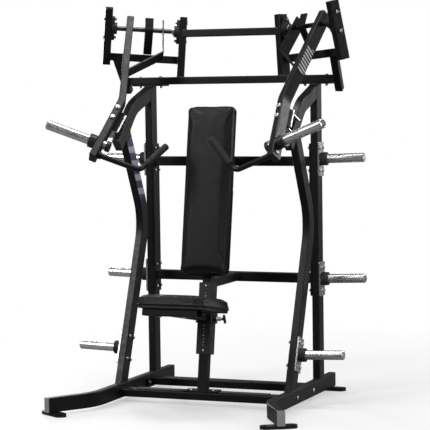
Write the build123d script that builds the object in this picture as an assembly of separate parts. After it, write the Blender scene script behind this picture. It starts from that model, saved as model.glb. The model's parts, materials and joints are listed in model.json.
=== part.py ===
from build123d import *
import math
import os

# Plate-loaded chest press machine.  Millimetres, +Z up.  Y points to the back, so
# the user sits facing -Y.  The origin is on the floor, midway between the two
# rear feet.  While it is drawn, Y = 0 is the front face of the uprights; save()
# moves each finished node back to the origin.
# Paired pieces are built on the +X side and mirrored in the plane X = 0.

# ---- Stock ----------------------------------------------------------------
WALL = 3.0                      # wall of every steel tube
CORNER = 5.0                    # outside corner radius of every steel tube
TUBE_W = 40.0                   # narrow side of the main 40 x 75 tube
TUBE_D = 75.0                   # wide side of the main 40 x 75 tube
SQUARE = 50.0                   # side of the square tube
PLATE = 8.0                     # thickness of flange and bracket plates
CAP = 4.0                       # visible thickness of a plastic tube cap
CAP_PLUG = 14.0                 # how far a cap's plug reaches into its tube
HOLE_GAP = 0.5                  # radial gap of a bolt in its hole
THROUGH = 60.0                  # drilling depth each way that clears any tube here
TOUCH_GAP = 0.05                # radial gap of a part held in a bore
RUN_GAP = 0.05                  # radial running clearance of a moving part

# ---- Base -----------------------------------------------------------------
SIDE_X = 472.0                  # centre plane of a side frame
RAIL_BOTTOM = 16.0
RAIL_TOP = RAIL_BOTTOM + TUBE_D
RAIL_BACK_Y = 260.0
RAIL_FLARE_VERTEX_Y = -726.0
RAIL_FLARE_RADIUS = 300.0
RAIL_FRONT = (626.0, -963.0)
FOOT_LENGTH = 185.0
FOOT_WIDTH = 60.0
FOOT_THICK = 8.0
FOOT_HOLE_R = 6.0
FOOT_HOLE_OFFSET = 70.0
REAR_FOOT = (472.0, 213.0)
FRONT_FOOT = (600.0, -931.0)
FLARE_ANGLE = 33.0
BASE_BAR_Z = 28.0               # underside of both base crossbars
BASE_BAR_H = 40.0
FRONT_BAR_Y = (-464.0, -389.0)
REAR_BAR_Y = (-65.0, 10.0)
FRONT_FLANGE_Y = (-464.0, -329.0)
REAR_FLANGE_Y = (-125.0, 10.0)
FRONT_FLANGE_BOLT_Y = -354.0
REAR_FLANGE_BOLT_Y = -103.0
TREAD_X = (98.0, 365.0)
TREAD_W = 55.0
TREAD_H = 5.0
TREAD_CORNER = 8.0

# ---- Side frames ----------------------------------------------------------
INNER_X = SIDE_X - TUBE_W / 2
OUTER_X = SIDE_X + TUBE_W / 2
UPRIGHT_TOP = 1641.0
TOP_BAR_BOTTOM = UPRIGHT_TOP + PLATE
TOP_BAR_TOP = TOP_BAR_BOTTOM + TUBE_W
TOP_BAR_HALF = 582.0
TOP_FLANGE_X = (379.0, 565.0)
TOP_BOLT_OFFSET = 60.0
TOP_BOLT_Y = 40.0
LEG_BEND = (-77.0, 933.0)       # where the leg's two centrelines meet (Y, Z)
LEG_BEND_RADIUS = 290.0
LEG_LOWER_LEAN = 21.06          # degrees from vertical, leaning back
LEG_UPPER_LEAN = 26.57          # degrees from vertical, leaning forward
LEG_UPPER_LENGTH = 640.0        # before the arch trims it
LEG_FOOT_OVERRUN = 30.0         # tube drawn past the rail before it is trimmed
ARCH_OVERRUN = 20.0             # tube drawn into the upright before it is trimmed
SIDE_SPACE = (400.0, 540.0)     # trimming limits round a side frame, in X
ARCH_START = (0.0, 1601.0)
ARCH_VERTEX = (-207.0, 1530.0)
ARCH_END = (-401.0, 1334.0)
ARCH_BEND_RADIUS = 200.0
SIDE_PLATE_Z = (531.0, 1331.0)
CROSSBAR_Y = 37.0
CROSSBAR_Z = (621.0, 1237.0)

# ---- Plate storage --------------------------------------------------------
PEG_BRACKET_H = 178.0
PEG_R = 24.0
PEG_ROOT_R = 23.0               # reduced root inside the collar
PEG_WALL = 4.0
PEG_END_WALL = 6.0
PEG_CHAMFER = 4.0
PEG_TIP_X = 736.0
PEG_RISE = 2.0                  # degrees above horizontal
PEG_COLLAR_R = 35.0
PEG_COLLAR_LENGTH = 30.0
PEG_COLLAR_GAP = 2.0            # collar off the bracket
PEG_RELIEF = 2.0                # reduced root showing past the collar
BRACKET_CORNER = 4.0
PEG_BOLT_HALF = (22.0, 60.0)    # bracket bolts: across and along the bracket
UPRIGHT_PEG_Z = (619.0, 1249.0)
LEG_PEG_Z = 266.0

# ---- Fasteners ------------------------------------------------------------
BOLT_R = 5.0
BOLT_HEAD_R = 10.0
BOLT_HEAD_H = 6.0
BOLT_OVERRUN = 3.0              # thread showing past a nut
BOLT_DOME = 0.8                 # share of a head's height that is domed
SOCKET_R = 0.4                  # share of a head's radius
SOCKET_FLOOR = 0.5              # share of a head's height left under the socket
NUT_R = 8.5
NUT_H = 8.0
SCREW_R = 3.0
SCREW_HEAD_R = 6.5
SCREW_HEAD_H = 4.0

# ---- Shoulder frames and arm pivots ---------------------------------------
PIVOT = Vector(464.0, -35.0, 1942.5)
PIVOT_YAW = 27.0                # shaft's outer end swings forward
PIVOT_ROLL = 4.0                # shaft's outer end is raised
POST_OFFSET = 199.5             # post centre planes from the pivot centre
POST_W = 40.0
POST_D = 60.0
INNER_POST_Y = -10.0
INNER_POST_TOP = 2019.0
INNER_POST_SPAN = (-300.0, 80.0)   # before it is trimmed, from the pivot
SHOULDER_SPACE = ((0.0, 700.0), (-200.0, 300.0))   # trimming limits in X and Y
OUTER_POST_LEAN = 11.0
OUTER_POST_SPAN = (-195.0, 109.0)
SHOULDER_TUBE_Y = (11.0, 51.0)
SHOULDER_TUBE_C = (-172.0, -132.0)
STRUT_TOP = Vector(613.0, -79.0, 1792.0)
STRUT_FOOT = Vector(602.5, 42.0, 1612.0)
STRUT_TRIM = 60.0               # the strut is cut off inside this height over the top bar
LINK_TUBE_Z = 1921.0
LINK_TUBE_Y = 38.0
LINK_TUBE_DRAWN = 400.0         # half length before the inner posts trim it
SHAFT_R = 12.5
SHAFT_HALF = 172.0
SHAFT_CHAMFER = 1.5
HOUSING_LENGTH = 130.0
HOUSING_WIDTH = 68.0
HOUSING_FLANGE = 13.0
HOUSING_THICK = 27.0
HOUSING_STEP = 3.0              # boss smaller than the flange
HOUSING_BORE_R = 23.0
HOUSING_BOLT = 49.5
RING_R = 16.5
BALL_R = 4.5
BALL_GAP = 0.05
BALLS_PER_BEARING = 8
LOCK_COLLAR_R = 20.0
LOCK_COLLAR_LENGTH = 11.0
GUARD_A = (-40.0, 5.0)
GUARD_POINTS = ((25.4, -128.0), (-39.0, 0.0), (-12.3, 63.0))

# ---- Arms -----------------------------------------------------------------
ARM_SWING = 38.8                # arm at rest, degrees forward of the posts
ARM_W = 38.0
ARM_D = 65.0
ARM_TOP = (82.0, 65.0)
ARM_BEND = (116.6, -500.0)
ARM_BEND_RADIUS = 150.0
ARM_FLARE = 21.2                # lower section turned outward
ARM_LOWER = 400.0
FORK_POINTS = ((-93.0, 49.0), (-93.0, -170.0), (88.0, -300.6))
HORN_DROP = 301.5               # horn below the arm's bend
HORN_R = 25.0
HORN_ROOT_R = 24.0              # reduced root inside the arm and the collar
HORN_ROOT_END_U = 59.0
HORN_END_WALL = 6.0
HORN_CHAMFER = 4.0
HORN_PIN_HOLE_R = 4.0
HORN_IN = -52.0
HORN_TIP = 293.0
HORN_WALL = 4.0
HORN_PIN_HOLE_U = 265.0
HORN_COLLAR_R = 36.0
HORN_COLLAR_U = (19.0, 57.0)
HORN_CAP_U = (-55.0, -36.0)
HORN_CAP_R = 28.0
BUMPER_DROP = (40.0, 160.0)
BUMPER_U = (-36.0, 19.0)
BUMPER_THICK = 15.0
BUMPER_BOLT_DROPS = (66.0, 135.0)
BUMPER_BOLT_R = 6.0
BUMPER_BOLT_HEAD_R = 14.0
BUMPER_BOLT_HEAD_H = 9.0
BUMPER_BOLT_BITE = 10.5         # thread inside the bumper
STOP_DROP = (41.0, 159.0)
STOP_U = (-45.5, 29.5)
STOP_PLATE = 7.0
STOP_WEB_U = (-28.0, 12.0)
STOP_WEB_DEPTH = 120.0          # before the arch trims it

# ---- Handles --------------------------------------------------------------
HANDLE_DROP = 371.0
HANDLE_R = 14.5
HANDLE_WALL = 3.0
HANDLE_COLLAR_R = 19.0
HANDLE_COLLAR_LENGTH = 15.0
HANDLE_CORNER_U = -248.0
HANDLE_SECOND = 200.0
HANDLE_TURN = 70.0              # angle between the handle's two parts
HANDLE_BEND_RADIUS = 40.0
HANDLE_PHASE_RIGHT = 133.0      # turn of the second part about the bar's axis
HANDLE_PHASE_LEFT = 177.0
HANDLE_BOLT_R = 6.0
HANDLE_EYE_FLOOR = 10.0         # solid end of the handle that the bolt passes
HANDLE_NUT_R = 10.0
HANDLE_NUT_H = 7.0
HANDLE_THREAD_SHOWING = 1.5
GRIP_R = 18.0
GRIP_START = 45.0
GRIP_END = 8.0                  # closed end past the bar
GRIP_END_ROUND = 7.0
GRIP_START_ROUND = 2.0

# ---- Seat post, back pad and seat -----------------------------------------
POST_LEAN = 9.6
POST_BASE_Y = -444.0
POST_BASE_Z = 78.0
POST_LENGTH = 1391.0
POST_OVERRUN = 40.0             # tube drawn below the base plate before it is trimmed
BASE_PLATE_X = 90.0
BASE_PLATE_BOLT_X = 61.0
BASE_PLATE_BOLT_INSET = 30.0
BASE_PLATE_BOLT_LENGTH = 28.0
SLEEVE_W = 78.0
SLEEVE_FRONT = -8.0             # sleeve faces, rearward of the post's front
SLEEVE_BACK = 58.0
SLEEVE_SPAN = (186.0, 556.0)
SLEEVE_CORNER = 6.0
SLEEVE_SCREW_INSET = 18.0
SLEEVE_SCREW_LENGTH = 9.0
SLEEVE_NOTCH_FROM = 531.0       # rear slot that clears the lower stub
BACK_PAD_FRONT = -73.8
BACK_PAD_SPAN = (586.0, 1473.0)
BACK_PAD_W = 274.0
BACK_PAD_THICK = 55.0
BACK_PAD_CORNER = 32.0
BACK_BOARD_THICK = 10.0
BOARD_INSET = 12.0
PAD_MOUNTS = (680.0, 1340.0)
PAD_MOUNT_X = 60.0
PAD_SCREW_X = 45.0
PAD_SCREW_BITE = 8.0            # thread inside the board
PAD_SCREW_HOLE = 8.5
BACK_PAD_EDGE = 12.0
PAD_MOUNT_HALF = 35.0
SEAT_FRONT_TOP = (-851.0, 614.0)
SEAT_TILT = 10.0
SEAT_W = 390.0
SEAT_LENGTH = 400.0
SEAT_THICK = 52.0
SEAT_CORNER = 65.0
SEAT_EDGE = 14.0
SEAT_BOLT_BITE = 8.4            # thread inside the seat board
CENTRE_TUBE_DRAWN = 500.0       # before the carriage trims it
SEAT_BOARD_THICK = 12.0
CROSS_MEMBER_W = 294.0
CROSS_MEMBER_Y = (25.0, 95.0)
CROSS_MEMBER_H = 38.0
SEAT_BOLT_X = 64.0
CARRIAGE_CENTRE = 387.0
CARRIAGE_HALF = 40.0
LINER_WALL = 4.0
CARRIAGE_WALL = 5.0
SEAT_STEP = 34.0                # spacing of the seat height holes
SEAT_STEPS_EACH_WAY = 3
SEAT_HOLE_DEPTH = 10.0
PIN_Y = 8.0
PIN_Z = 370.0
PIN_R = 5.0
PIN_TIP_X = 41.0
PIN_TRAVEL = 8.0
PIN_BOSS_X = (48.0, 62.0)
PIN_BOSS_R = 13.0
PIN_HOUSING_X = (62.0, 85.0)
PIN_HOUSING_R = 11.0
PIN_BORE_R = 8.0
PIN_FLANGE_X = (64.0, 66.0)
PIN_HANDLE_X = (94.0, 113.0)    # leaves room for the pin's travel
PIN_HANDLE_LENGTH = 50.0
PIN_HANDLE_SLANT = 30.0
PIN_HANDLE_R = 7.0
PIN_HANDLE_ROUND = 5.0
PIN_STEM_R = 8.0
PIN_STEM_SHORT = 6.0            # stem ends inside the cross grip
PIN_IN_STEM = 4.0               # pin pressed this far into the knob
PIN_SLACK = 1.0                 # flange clear of its floor when the pin is in
PIN_CHAMFER = 1.5
PIN_FLANGE_GAP = 0.5            # flange smaller than the bore it slides in
HOUSING_CHAMFER = 2.0
HOUSING_END_WALL = 3.0
SPRING_WIRE_R = 0.6
SPRING_R = 6.6
SPRING_TURNS = 5
SPRING_GAP = 0.2                # wire clear of what it bears on

X_AXIS = Vector(1, 0, 0)
Y_AXIS = Vector(0, 1, 0)
Z_AXIS = Vector(0, 0, 1)
TO_ORIGIN = Pos(0, -REAR_FOOT[1], 0)


# ---- Helpers --------------------------------------------------------------
def solid_box(x, y, z):
    """Box from its limits, each given as (low, high)."""
    size = (x[1] - x[0], y[1] - y[0], z[1] - z[0])
    centre = ((x[0] + x[1]) / 2, (y[0] + y[1]) / 2, (z[0] + z[1]) / 2)
    return Pos(*centre) * Box(*size)


def rod(start, direction, radius, length):
    """Cylinder from a start point along a direction."""
    return Plane(origin=start, z_dir=direction) * Cylinder(
        radius, length, align=(Align.CENTER, Align.CENTER, Align.MIN)
    )


def ring(start, direction, outer, inner, length):
    """Tube of round section from a start point along a direction."""
    return rod(start, direction, outer, length) - rod(start, direction, inner, length)


def tube_section(width, depth, hollow=True):
    """Rectangular tube section with rounded corners."""
    outline = RectangleRounded(width, depth, CORNER)
    if not hollow:
        return outline
    return outline - RectangleRounded(width - 2 * WALL, depth - 2 * WALL, CORNER - WALL)


def tube_between(start, end, width_dir, width, depth, hollow=True):
    """Straight rectangular tube between two points."""
    start = Vector(*start)
    span = Vector(*end) - start
    plane = Plane(origin=start, x_dir=width_dir, z_dir=span)
    return extrude(plane * tube_section(width, depth, hollow), amount=span.length)


def tube_along(path, width_dir, width, depth, hollow=True):
    """Rectangular tube swept along a bent path."""
    plane = Plane(origin=path @ 0, x_dir=width_dir, z_dir=path % 0)
    return sweep(plane * tube_section(width, depth, hollow), path=path)


def tube_cap(face_centre, outward, width_dir, width, depth):
    """Plastic cap on a tube's end, with a plug inside the tube."""
    plane = Plane(origin=face_centre, x_dir=width_dir, z_dir=outward)
    face = extrude(plane * RectangleRounded(width, depth, CORNER), amount=CAP)
    inset = 2 * (WALL + TOUCH_GAP)
    plug = plane * RectangleRounded(width - inset, depth - inset, CORNER - WALL)
    return face + extrude(plug, amount=-CAP_PLUG)


def strip_outline(points, thickness):
    """Closed outline of a folded strip with mitred folds, drawn in XY."""
    half = thickness / 2
    points = [Vector(p[0], p[1], 0) for p in points]
    runs = [(b - a).normalized() for a, b in zip(points, points[1:])]
    sides = [Vector(-run.Y, run.X, 0) for run in runs]
    left = []
    right = []
    for index, point in enumerate(points):
        before = sides[max(index - 1, 0)]
        after = sides[min(index, len(sides) - 1)]
        mitre = (before + after).normalized()
        reach = half / mitre.dot(after)
        left.append(point + mitre * reach)
        right.append(point - mitre * reach)
    outline = left + right[::-1]
    return make_face(Polyline(*outline, close=True))


def bolt(seat, outward, length, radius=BOLT_R, head_r=BOLT_HEAD_R, head_h=BOLT_HEAD_H):
    """Domed socket bolt whose head sits on the seat point."""
    plane = Plane(origin=seat, z_dir=outward)
    up = (Align.CENTER, Align.CENTER, Align.MIN)
    head = Cylinder(head_r, head_h, align=up)
    head = fillet(head.edges().sort_by(Axis.Z)[-1], head_h * BOLT_DOME)
    socket = extrude(RegularPolygon(head_r * SOCKET_R, 6), amount=head_h)
    head -= Pos(0, 0, head_h * SOCKET_FLOOR) * socket
    shank = Pos(0, 0, -length) * Cylinder(radius, length, align=up)
    return plane * (head + shank)


def nut(seat, outward):
    """Hexagon nut standing on the seat point."""
    hexagon = RegularPolygon(NUT_R, 6) - Circle(BOLT_R + TOUCH_GAP)
    return extrude(Plane(origin=seat, z_dir=outward) * hexagon, amount=NUT_H)


def drill(shape, points, direction, radius, length):
    """Cut round holes centred on the points, both ways along a direction."""
    direction = Vector(*direction).normalized()
    for point in points:
        shape -= rod(Vector(*point) - direction * length, direction, radius, 2 * length)
    return shape


def mirrored(shape):
    return mirror(shape, about=Plane.YZ)


def both(shape):
    """The +X piece and its mirror image."""
    return [shape, mirrored(shape)]


def main_solid(shape):
    """The largest solid of a trimmed shape."""
    return shape.solids().sort_by(SortBy.VOLUME)[-1]


def save(name, shapes):
    """Write one node about the origin, as one solid or as a group of solids."""
    if not isinstance(shapes, (list, tuple)):
        shapes = [shapes]
    solids = [TO_ORIGIN * solid for shape in shapes for solid in shape.solids()]
    result = solids[0] if len(solids) == 1 else Compound(children=solids)
    export_step(result, f"parts/{name}.step")


os.makedirs("parts", exist_ok=True)

hole_r = BOLT_R + HOLE_GAP
frame_bolts = []
frame_nuts = []
black_caps = []
rail_caps = []


# ---- Side rails, feet and base crossbars ----------------------------------
rail_z = RAIL_BOTTOM + TUBE_D / 2
flare = Vector(math.sin(math.radians(FLARE_ANGLE)), -math.cos(math.radians(FLARE_ANGLE)), 0)
rail_front = Vector(RAIL_FRONT[0], RAIL_FRONT[1], rail_z)
rail_path = FilletPolyline(
    Vector(SIDE_X, RAIL_BACK_Y - CAP, rail_z),
    Vector(SIDE_X, RAIL_FLARE_VERTEX_Y, rail_z),
    rail_front - flare * CAP,
    radius=RAIL_FLARE_RADIUS,
)
rail = tube_along(rail_path, Z_AXIS, TUBE_D, TUBE_W)
rail_caps += both(tube_cap(rail_path @ 0, Y_AXIS, Z_AXIS, TUBE_D, TUBE_W))
rail_caps += both(tube_cap(rail_path @ 1, rail_path % 1, Z_AXIS, TUBE_D, TUBE_W))

base_bolt_z = BASE_BAR_Z + BASE_BAR_H / 2
for flange_bolt_y in (FRONT_FLANGE_BOLT_Y, REAR_FLANGE_BOLT_Y):
    seat = Vector(OUTER_X, flange_bolt_y, base_bolt_z)
    rail = drill(rail, [seat], X_AXIS, hole_r, 2 * TUBE_W)
    grip = TUBE_W + PLATE
    frame_bolts += both(bolt(seat, X_AXIS, grip + NUT_H + BOLT_OVERRUN))
    frame_nuts += both(nut(seat - X_AXIS * grip, -X_AXIS))
save("side_rails", both(rail))


def foot_shape(centre, angle, bottom):
    """One layer of a foot: a round-ended plate with two anchor holes."""
    outline = Rectangle(FOOT_LENGTH - FOOT_WIDTH, FOOT_WIDTH)
    for side in (-1, 1):
        outline += Pos(side * (FOOT_LENGTH - FOOT_WIDTH) / 2, 0) * Circle(FOOT_WIDTH / 2)
    for side in (-1, 1):
        outline -= Pos(side * FOOT_HOLE_OFFSET, 0) * Circle(FOOT_HOLE_R)
    layer = extrude(outline, amount=FOOT_THICK)
    return Pos(centre[0], centre[1], bottom) * Rot(0, 0, angle) * layer


foot_plates = []
foot_pads = []
for foot_centre, foot_angle in ((REAR_FOOT, 0.0), (FRONT_FOOT, FLARE_ANGLE)):
    foot_pads += both(foot_shape(foot_centre, foot_angle, 0.0))
    foot_plates += both(foot_shape(foot_centre, foot_angle, FOOT_THICK))
save("foot_plates", foot_plates)
save("foot_pads", foot_pads)


def base_crossbar(bar_y, flange_y, flange_bolt_y):
    """Tube across the floor with a bolted flange plate at each end."""
    middle_y = (bar_y[0] + bar_y[1]) / 2
    half = INNER_X - PLATE
    bar = tube_between(
        (-half, middle_y, base_bolt_z), (half, middle_y, base_bolt_z), Z_AXIS, BASE_BAR_H, TUBE_D
    )
    for side in (-1, 1):
        plate_x = sorted((side * half, side * INNER_X))
        bar += solid_box(plate_x, flange_y, (BASE_BAR_Z, BASE_BAR_Z + BASE_BAR_H))
        bar = drill(
            bar, [(side * INNER_X, flange_bolt_y, base_bolt_z)], X_AXIS, hole_r, 2 * PLATE
        )
    return bar


front_crossbar = base_crossbar(FRONT_BAR_Y, FRONT_FLANGE_Y, FRONT_FLANGE_BOLT_Y)
base_plate_y = (FRONT_BAR_Y[0] + FRONT_BAR_Y[1]) / 2
base_bar_top = BASE_BAR_Z + BASE_BAR_H
post_bolt_seats = [
    Vector(side * BASE_PLATE_BOLT_X, FRONT_BAR_Y[0] + BASE_PLATE_BOLT_INSET, POST_BASE_Z)
    for side in (-1, 1)
]
front_crossbar = drill(front_crossbar, post_bolt_seats, Z_AXIS, hole_r, BASE_PLATE_BOLT_INSET)
for seat in post_bolt_seats:
    frame_bolts.append(bolt(seat, Z_AXIS, BASE_PLATE_BOLT_LENGTH))
save("front_base_crossbar", front_crossbar)
save("rear_base_crossbar", base_crossbar(REAR_BAR_Y, REAR_FLANGE_Y, REAR_FLANGE_BOLT_Y))

tread = Pos((TREAD_X[0] + TREAD_X[1]) / 2, base_plate_y, base_bar_top) * extrude(
    RectangleRounded(TREAD_X[1] - TREAD_X[0], TREAD_W, TREAD_CORNER), amount=TREAD_H
)
save("tread_strips", both(tread))


# ---- Uprights, front legs and arches --------------------------------------
upright = tube_between(
    (SIDE_X, TUBE_D / 2, RAIL_TOP), (SIDE_X, TUBE_D / 2, UPRIGHT_TOP), X_AXIS, TUBE_W, TUBE_D
)
upright += solid_box(TOP_FLANGE_X, (0, TUBE_D), (UPRIGHT_TOP, TOP_BAR_BOTTOM))

lower_lean = math.radians(LEG_LOWER_LEAN)
upper_lean = math.radians(LEG_UPPER_LEAN)
leg_bend = Vector(SIDE_X, LEG_BEND[0], LEG_BEND[1])
leg_up = Vector(0, math.sin(lower_lean), math.cos(lower_lean))
leg_foot = leg_bend - leg_up * ((LEG_BEND[1] - RAIL_TOP) / leg_up.Z + LEG_FOOT_OVERRUN)
leg_upper_dir = Vector(0, -math.sin(upper_lean), math.cos(upper_lean))
leg_top = leg_bend + leg_upper_dir * LEG_UPPER_LENGTH
leg_path = FilletPolyline(leg_foot, leg_bend, leg_top, radius=LEG_BEND_RADIUS)
front_leg = tube_along(leg_path, X_AXIS, TUBE_W, TUBE_D)
front_leg -= solid_box(SIDE_SPACE, (RAIL_FLARE_VERTEX_Y, 0), (0, RAIL_TOP))

arch_end = Vector(SIDE_X, ARCH_END[0], ARCH_END[1])
arch_vertex = Vector(SIDE_X, ARCH_VERTEX[0], ARCH_VERTEX[1])
arch_start = Vector(SIDE_X, ARCH_START[0], ARCH_START[1])
arch_down = (arch_end - arch_vertex).normalized()
arch_back = (arch_start - arch_vertex).normalized()
arch_path = FilletPolyline(
    arch_start + arch_back * ARCH_OVERRUN,
    arch_vertex,
    arch_end - arch_down * CAP,
    radius=ARCH_BEND_RADIUS,
)
upright_space = solid_box(SIDE_SPACE, (0, 2 * TUBE_D), (ARCH_END[1], TOP_BAR_TOP))
arch = tube_along(arch_path, X_AXIS, TUBE_W, TUBE_D) - upright_space
arch_space = tube_along(arch_path, X_AXIS, TUBE_W, TUBE_D, hollow=False)
front_leg = (front_leg - arch_space).solids().sort_by(Axis.Z)[0]
black_caps += both(tube_cap(arch_path @ 1, arch_down, X_AXIS, TUBE_W, TUBE_D))
save("arches", both(arch))

side_plate = solid_box((INNER_X - PLATE, INNER_X), (0, TUBE_D), SIDE_PLATE_Z)
crossbar_half = INNER_X - PLATE
crossbars = [
    tube_between(
        (-crossbar_half, CROSSBAR_Y, level),
        (crossbar_half, CROSSBAR_Y, level),
        Z_AXIS,
        SQUARE,
        SQUARE,
    )
    for level in CROSSBAR_Z
]
save("rear_crossbars", crossbars)


# ---- Plate storage pegs ---------------------------------------------------
def peg_station(centre, along, grip):
    """Bracket, peg, collar, bolts and nuts of one storage peg.

    centre is on the tube's outer face, along runs up the tube, and grip is the
    thickness the bolts clamp behind the bracket.
    """
    plane = Plane(origin=centre, x_dir=Vector(0, 1, 0) - along * along.Y, z_dir=X_AXIS)
    along_sign = 1 if plane.y_dir.dot(along) > 0 else -1
    bracket = extrude(plane * RectangleRounded(TUBE_D, PEG_BRACKET_H, BRACKET_CORNER), amount=PLATE)
    corners = []
    for across_side in (-1, 1):
        for along_side in (-1, 1):
            across = plane.x_dir * across_side * PEG_BOLT_HALF[0]
            lift = plane.y_dir * along_sign * along_side * PEG_BOLT_HALF[1]
            corners.append(centre + across + lift)
    bracket = drill(bracket, corners, X_AXIS, hole_r, THROUGH)
    bolts = [
        bolt(corner + X_AXIS * PLATE, X_AXIS, PLATE + grip + NUT_H + BOLT_OVERRUN)
        for corner in corners
    ]
    nuts = [nut(corner - X_AXIS * grip, -X_AXIS) for corner in corners]

    rise = math.radians(PEG_RISE)
    direction = Vector(math.cos(rise), 0, math.sin(rise))
    length = (PEG_TIP_X - centre.X) / direction.X
    collar_from = PLATE + PEG_COLLAR_GAP
    root_end = collar_from + PEG_COLLAR_LENGTH + PEG_RELIEF
    peg = rod(centre + direction * root_end, direction, PEG_R, length - root_end)
    peg = chamfer(peg.edges().sort_by(Axis.X)[-1], PEG_CHAMFER)
    peg += rod(centre, direction, PEG_ROOT_R, root_end)
    peg -= rod(centre, direction, PEG_R - PEG_WALL, length - PEG_END_WALL)
    behind_bracket = Pos(centre.X + PLATE - PEG_BRACKET_H / 2, centre.Y, centre.Z) * Box(
        PEG_BRACKET_H, PEG_BRACKET_H, PEG_BRACKET_H
    )
    peg = main_solid(peg - behind_bracket)
    collar_start = centre + direction * collar_from
    collar = ring(
        collar_start, direction, PEG_COLLAR_R, PEG_ROOT_R + TOUCH_GAP, PEG_COLLAR_LENGTH
    )
    return bracket, peg, collar, bolts, nuts, corners


peg_brackets = []
storage_pegs = []
peg_collars = []
leg_peg_y = LEG_BEND[0] + (LEG_PEG_Z - LEG_BEND[1]) * math.tan(lower_lean)
peg_places = []
for level in UPRIGHT_PEG_Z:
    peg_places.append((Vector(OUTER_X, TUBE_D / 2, level), Z_AXIS, TUBE_W + PLATE))
peg_places.append((Vector(OUTER_X, leg_peg_y, LEG_PEG_Z), leg_up, TUBE_W))
for peg_centre, peg_along, peg_grip in peg_places:
    bracket, peg, collar, bolts, nuts, corners = peg_station(peg_centre, peg_along, peg_grip)
    peg_brackets += both(bracket)
    storage_pegs += both(peg)
    peg_collars += both(collar)
    for piece in bolts:
        frame_bolts += both(piece)
    for piece in nuts:
        frame_nuts += both(piece)
    if peg_along is Z_AXIS:
        upright = drill(upright, corners, X_AXIS, hole_r, THROUGH)
        side_plate = drill(side_plate, corners, X_AXIS, hole_r, THROUGH)
    else:
        front_leg = drill(front_leg, corners, X_AXIS, hole_r, THROUGH)
save("side_plates", both(side_plate))
save("front_legs", both(front_leg))
save("peg_brackets", peg_brackets)
save("storage_pegs", storage_pegs)
save("peg_collars", peg_collars)


# ---- Top crossbar ---------------------------------------------------------
top_bar_z = (TOP_BAR_BOTTOM + TOP_BAR_TOP) / 2
top_half = TOP_BAR_HALF - CAP
top_bar = tube_between(
    (-top_half, TUBE_D / 2, top_bar_z), (top_half, TUBE_D / 2, top_bar_z), Z_AXIS, TUBE_W, TUBE_D
)
black_caps += both(
    tube_cap(Vector(top_half, TUBE_D / 2, top_bar_z), X_AXIS, Z_AXIS, TUBE_W, TUBE_D)
)
for offset in (-TOP_BOLT_OFFSET, TOP_BOLT_OFFSET):
    seat = Vector(SIDE_X + offset, TOP_BOLT_Y, TOP_BAR_TOP)
    grip = TUBE_W + PLATE
    upright = drill(upright, [seat], Z_AXIS, hole_r, THROUGH)
    mirrored_seat = Vector(-seat.X, seat.Y, seat.Z)
    top_bar = drill(top_bar, [seat, mirrored_seat], Z_AXIS, hole_r, THROUGH)
    frame_bolts += both(bolt(seat, Z_AXIS, grip + NUT_H + BOLT_OVERRUN))
    frame_nuts += both(nut(seat - Z_AXIS * grip, -Z_AXIS))
save("top_crossbar", top_bar)
save("upright_right", upright)
save("upright_left", mirrored(upright))


# ---- Shoulder frames ------------------------------------------------------
yaw = math.radians(PIVOT_YAW)
roll = math.radians(PIVOT_ROLL)
shaft_dir = Vector(math.cos(roll) * math.cos(yaw), -math.cos(roll) * math.sin(yaw), math.sin(roll))
forward = Vector(-math.sin(yaw), -math.cos(yaw), 0)
post_up = forward.cross(shaft_dir)
shoulder = Plane(origin=PIVOT, x_dir=shaft_dir, z_dir=post_up)
outer_lean = Rot(OUTER_POST_LEAN, 0, 0)

inner_post_ends = [(-POST_OFFSET, INNER_POST_Y, level) for level in INNER_POST_SPAN]
inner_post = tube_between(*inner_post_ends, X_AXIS, POST_W, POST_D)
inner_post_solid = tube_between(*inner_post_ends, X_AXIS, POST_W, POST_D, hollow=False)
outer_post_ends = ((0, 0, OUTER_POST_SPAN[0]), (0, 0, OUTER_POST_SPAN[1] - CAP))
outer_place = Pos(POST_OFFSET, 0, 0) * outer_lean
outer_post = outer_place * tube_between(*outer_post_ends, X_AXIS, POST_W, POST_D)
outer_post_solid = outer_place * tube_between(*outer_post_ends, X_AXIS, POST_W, POST_D, hollow=False)

# Bearing housings on the posts' facing sides, bolted through the posts.
ball_ring_r = (RING_R + HOUSING_BORE_R) / 2
race = Torus(ball_ring_r, BALL_R + BALL_GAP)


def bearing_housing():
    """Two-bolt rhombic housing, flange on XY, boss towards +Z."""
    boss_r = HOUSING_WIDTH / 2
    flange = make_hull(
        (
            Circle(boss_r)
            + Pos(0, HOUSING_BOLT) * Circle(HOUSING_LENGTH / 2 - HOUSING_BOLT)
            + Pos(0, -HOUSING_BOLT) * Circle(HOUSING_LENGTH / 2 - HOUSING_BOLT)
        ).edges()
    )
    housing = extrude(flange, amount=HOUSING_FLANGE)
    housing += extrude(Circle(boss_r - HOUSING_STEP), amount=HOUSING_THICK)
    housing -= extrude(Circle(HOUSING_BORE_R), amount=HOUSING_THICK)
    housing -= Pos(0, 0, HOUSING_THICK / 2) * race
    for side in (-1, 1):
        housing -= Pos(0, side * HOUSING_BOLT, 0) * Cylinder(hole_r, THROUGH)
    return housing


def bearing_ring(collar_length):
    """Inner ring with an optional lock collar past the housing's face."""
    inner = SHAFT_R + TOUCH_GAP
    body = ring(Vector(0, 0, 1), Z_AXIS, RING_R, inner, HOUSING_THICK - 1)
    if collar_length:
        collar_start = Vector(0, 0, HOUSING_THICK)
        body += ring(collar_start, Z_AXIS, LOCK_COLLAR_R, inner, collar_length)
    return body - Pos(0, 0, HOUSING_THICK / 2) * race


def bearing_balls():
    """Balls spaced round the race."""
    balls = []
    for index in range(BALLS_PER_BEARING):
        turn = Rot(0, 0, 360 / BALLS_PER_BEARING * index)
        balls.append(turn * (Pos(ball_ring_r, 0, HOUSING_THICK / 2) * Sphere(BALL_R)))
    return balls


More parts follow.
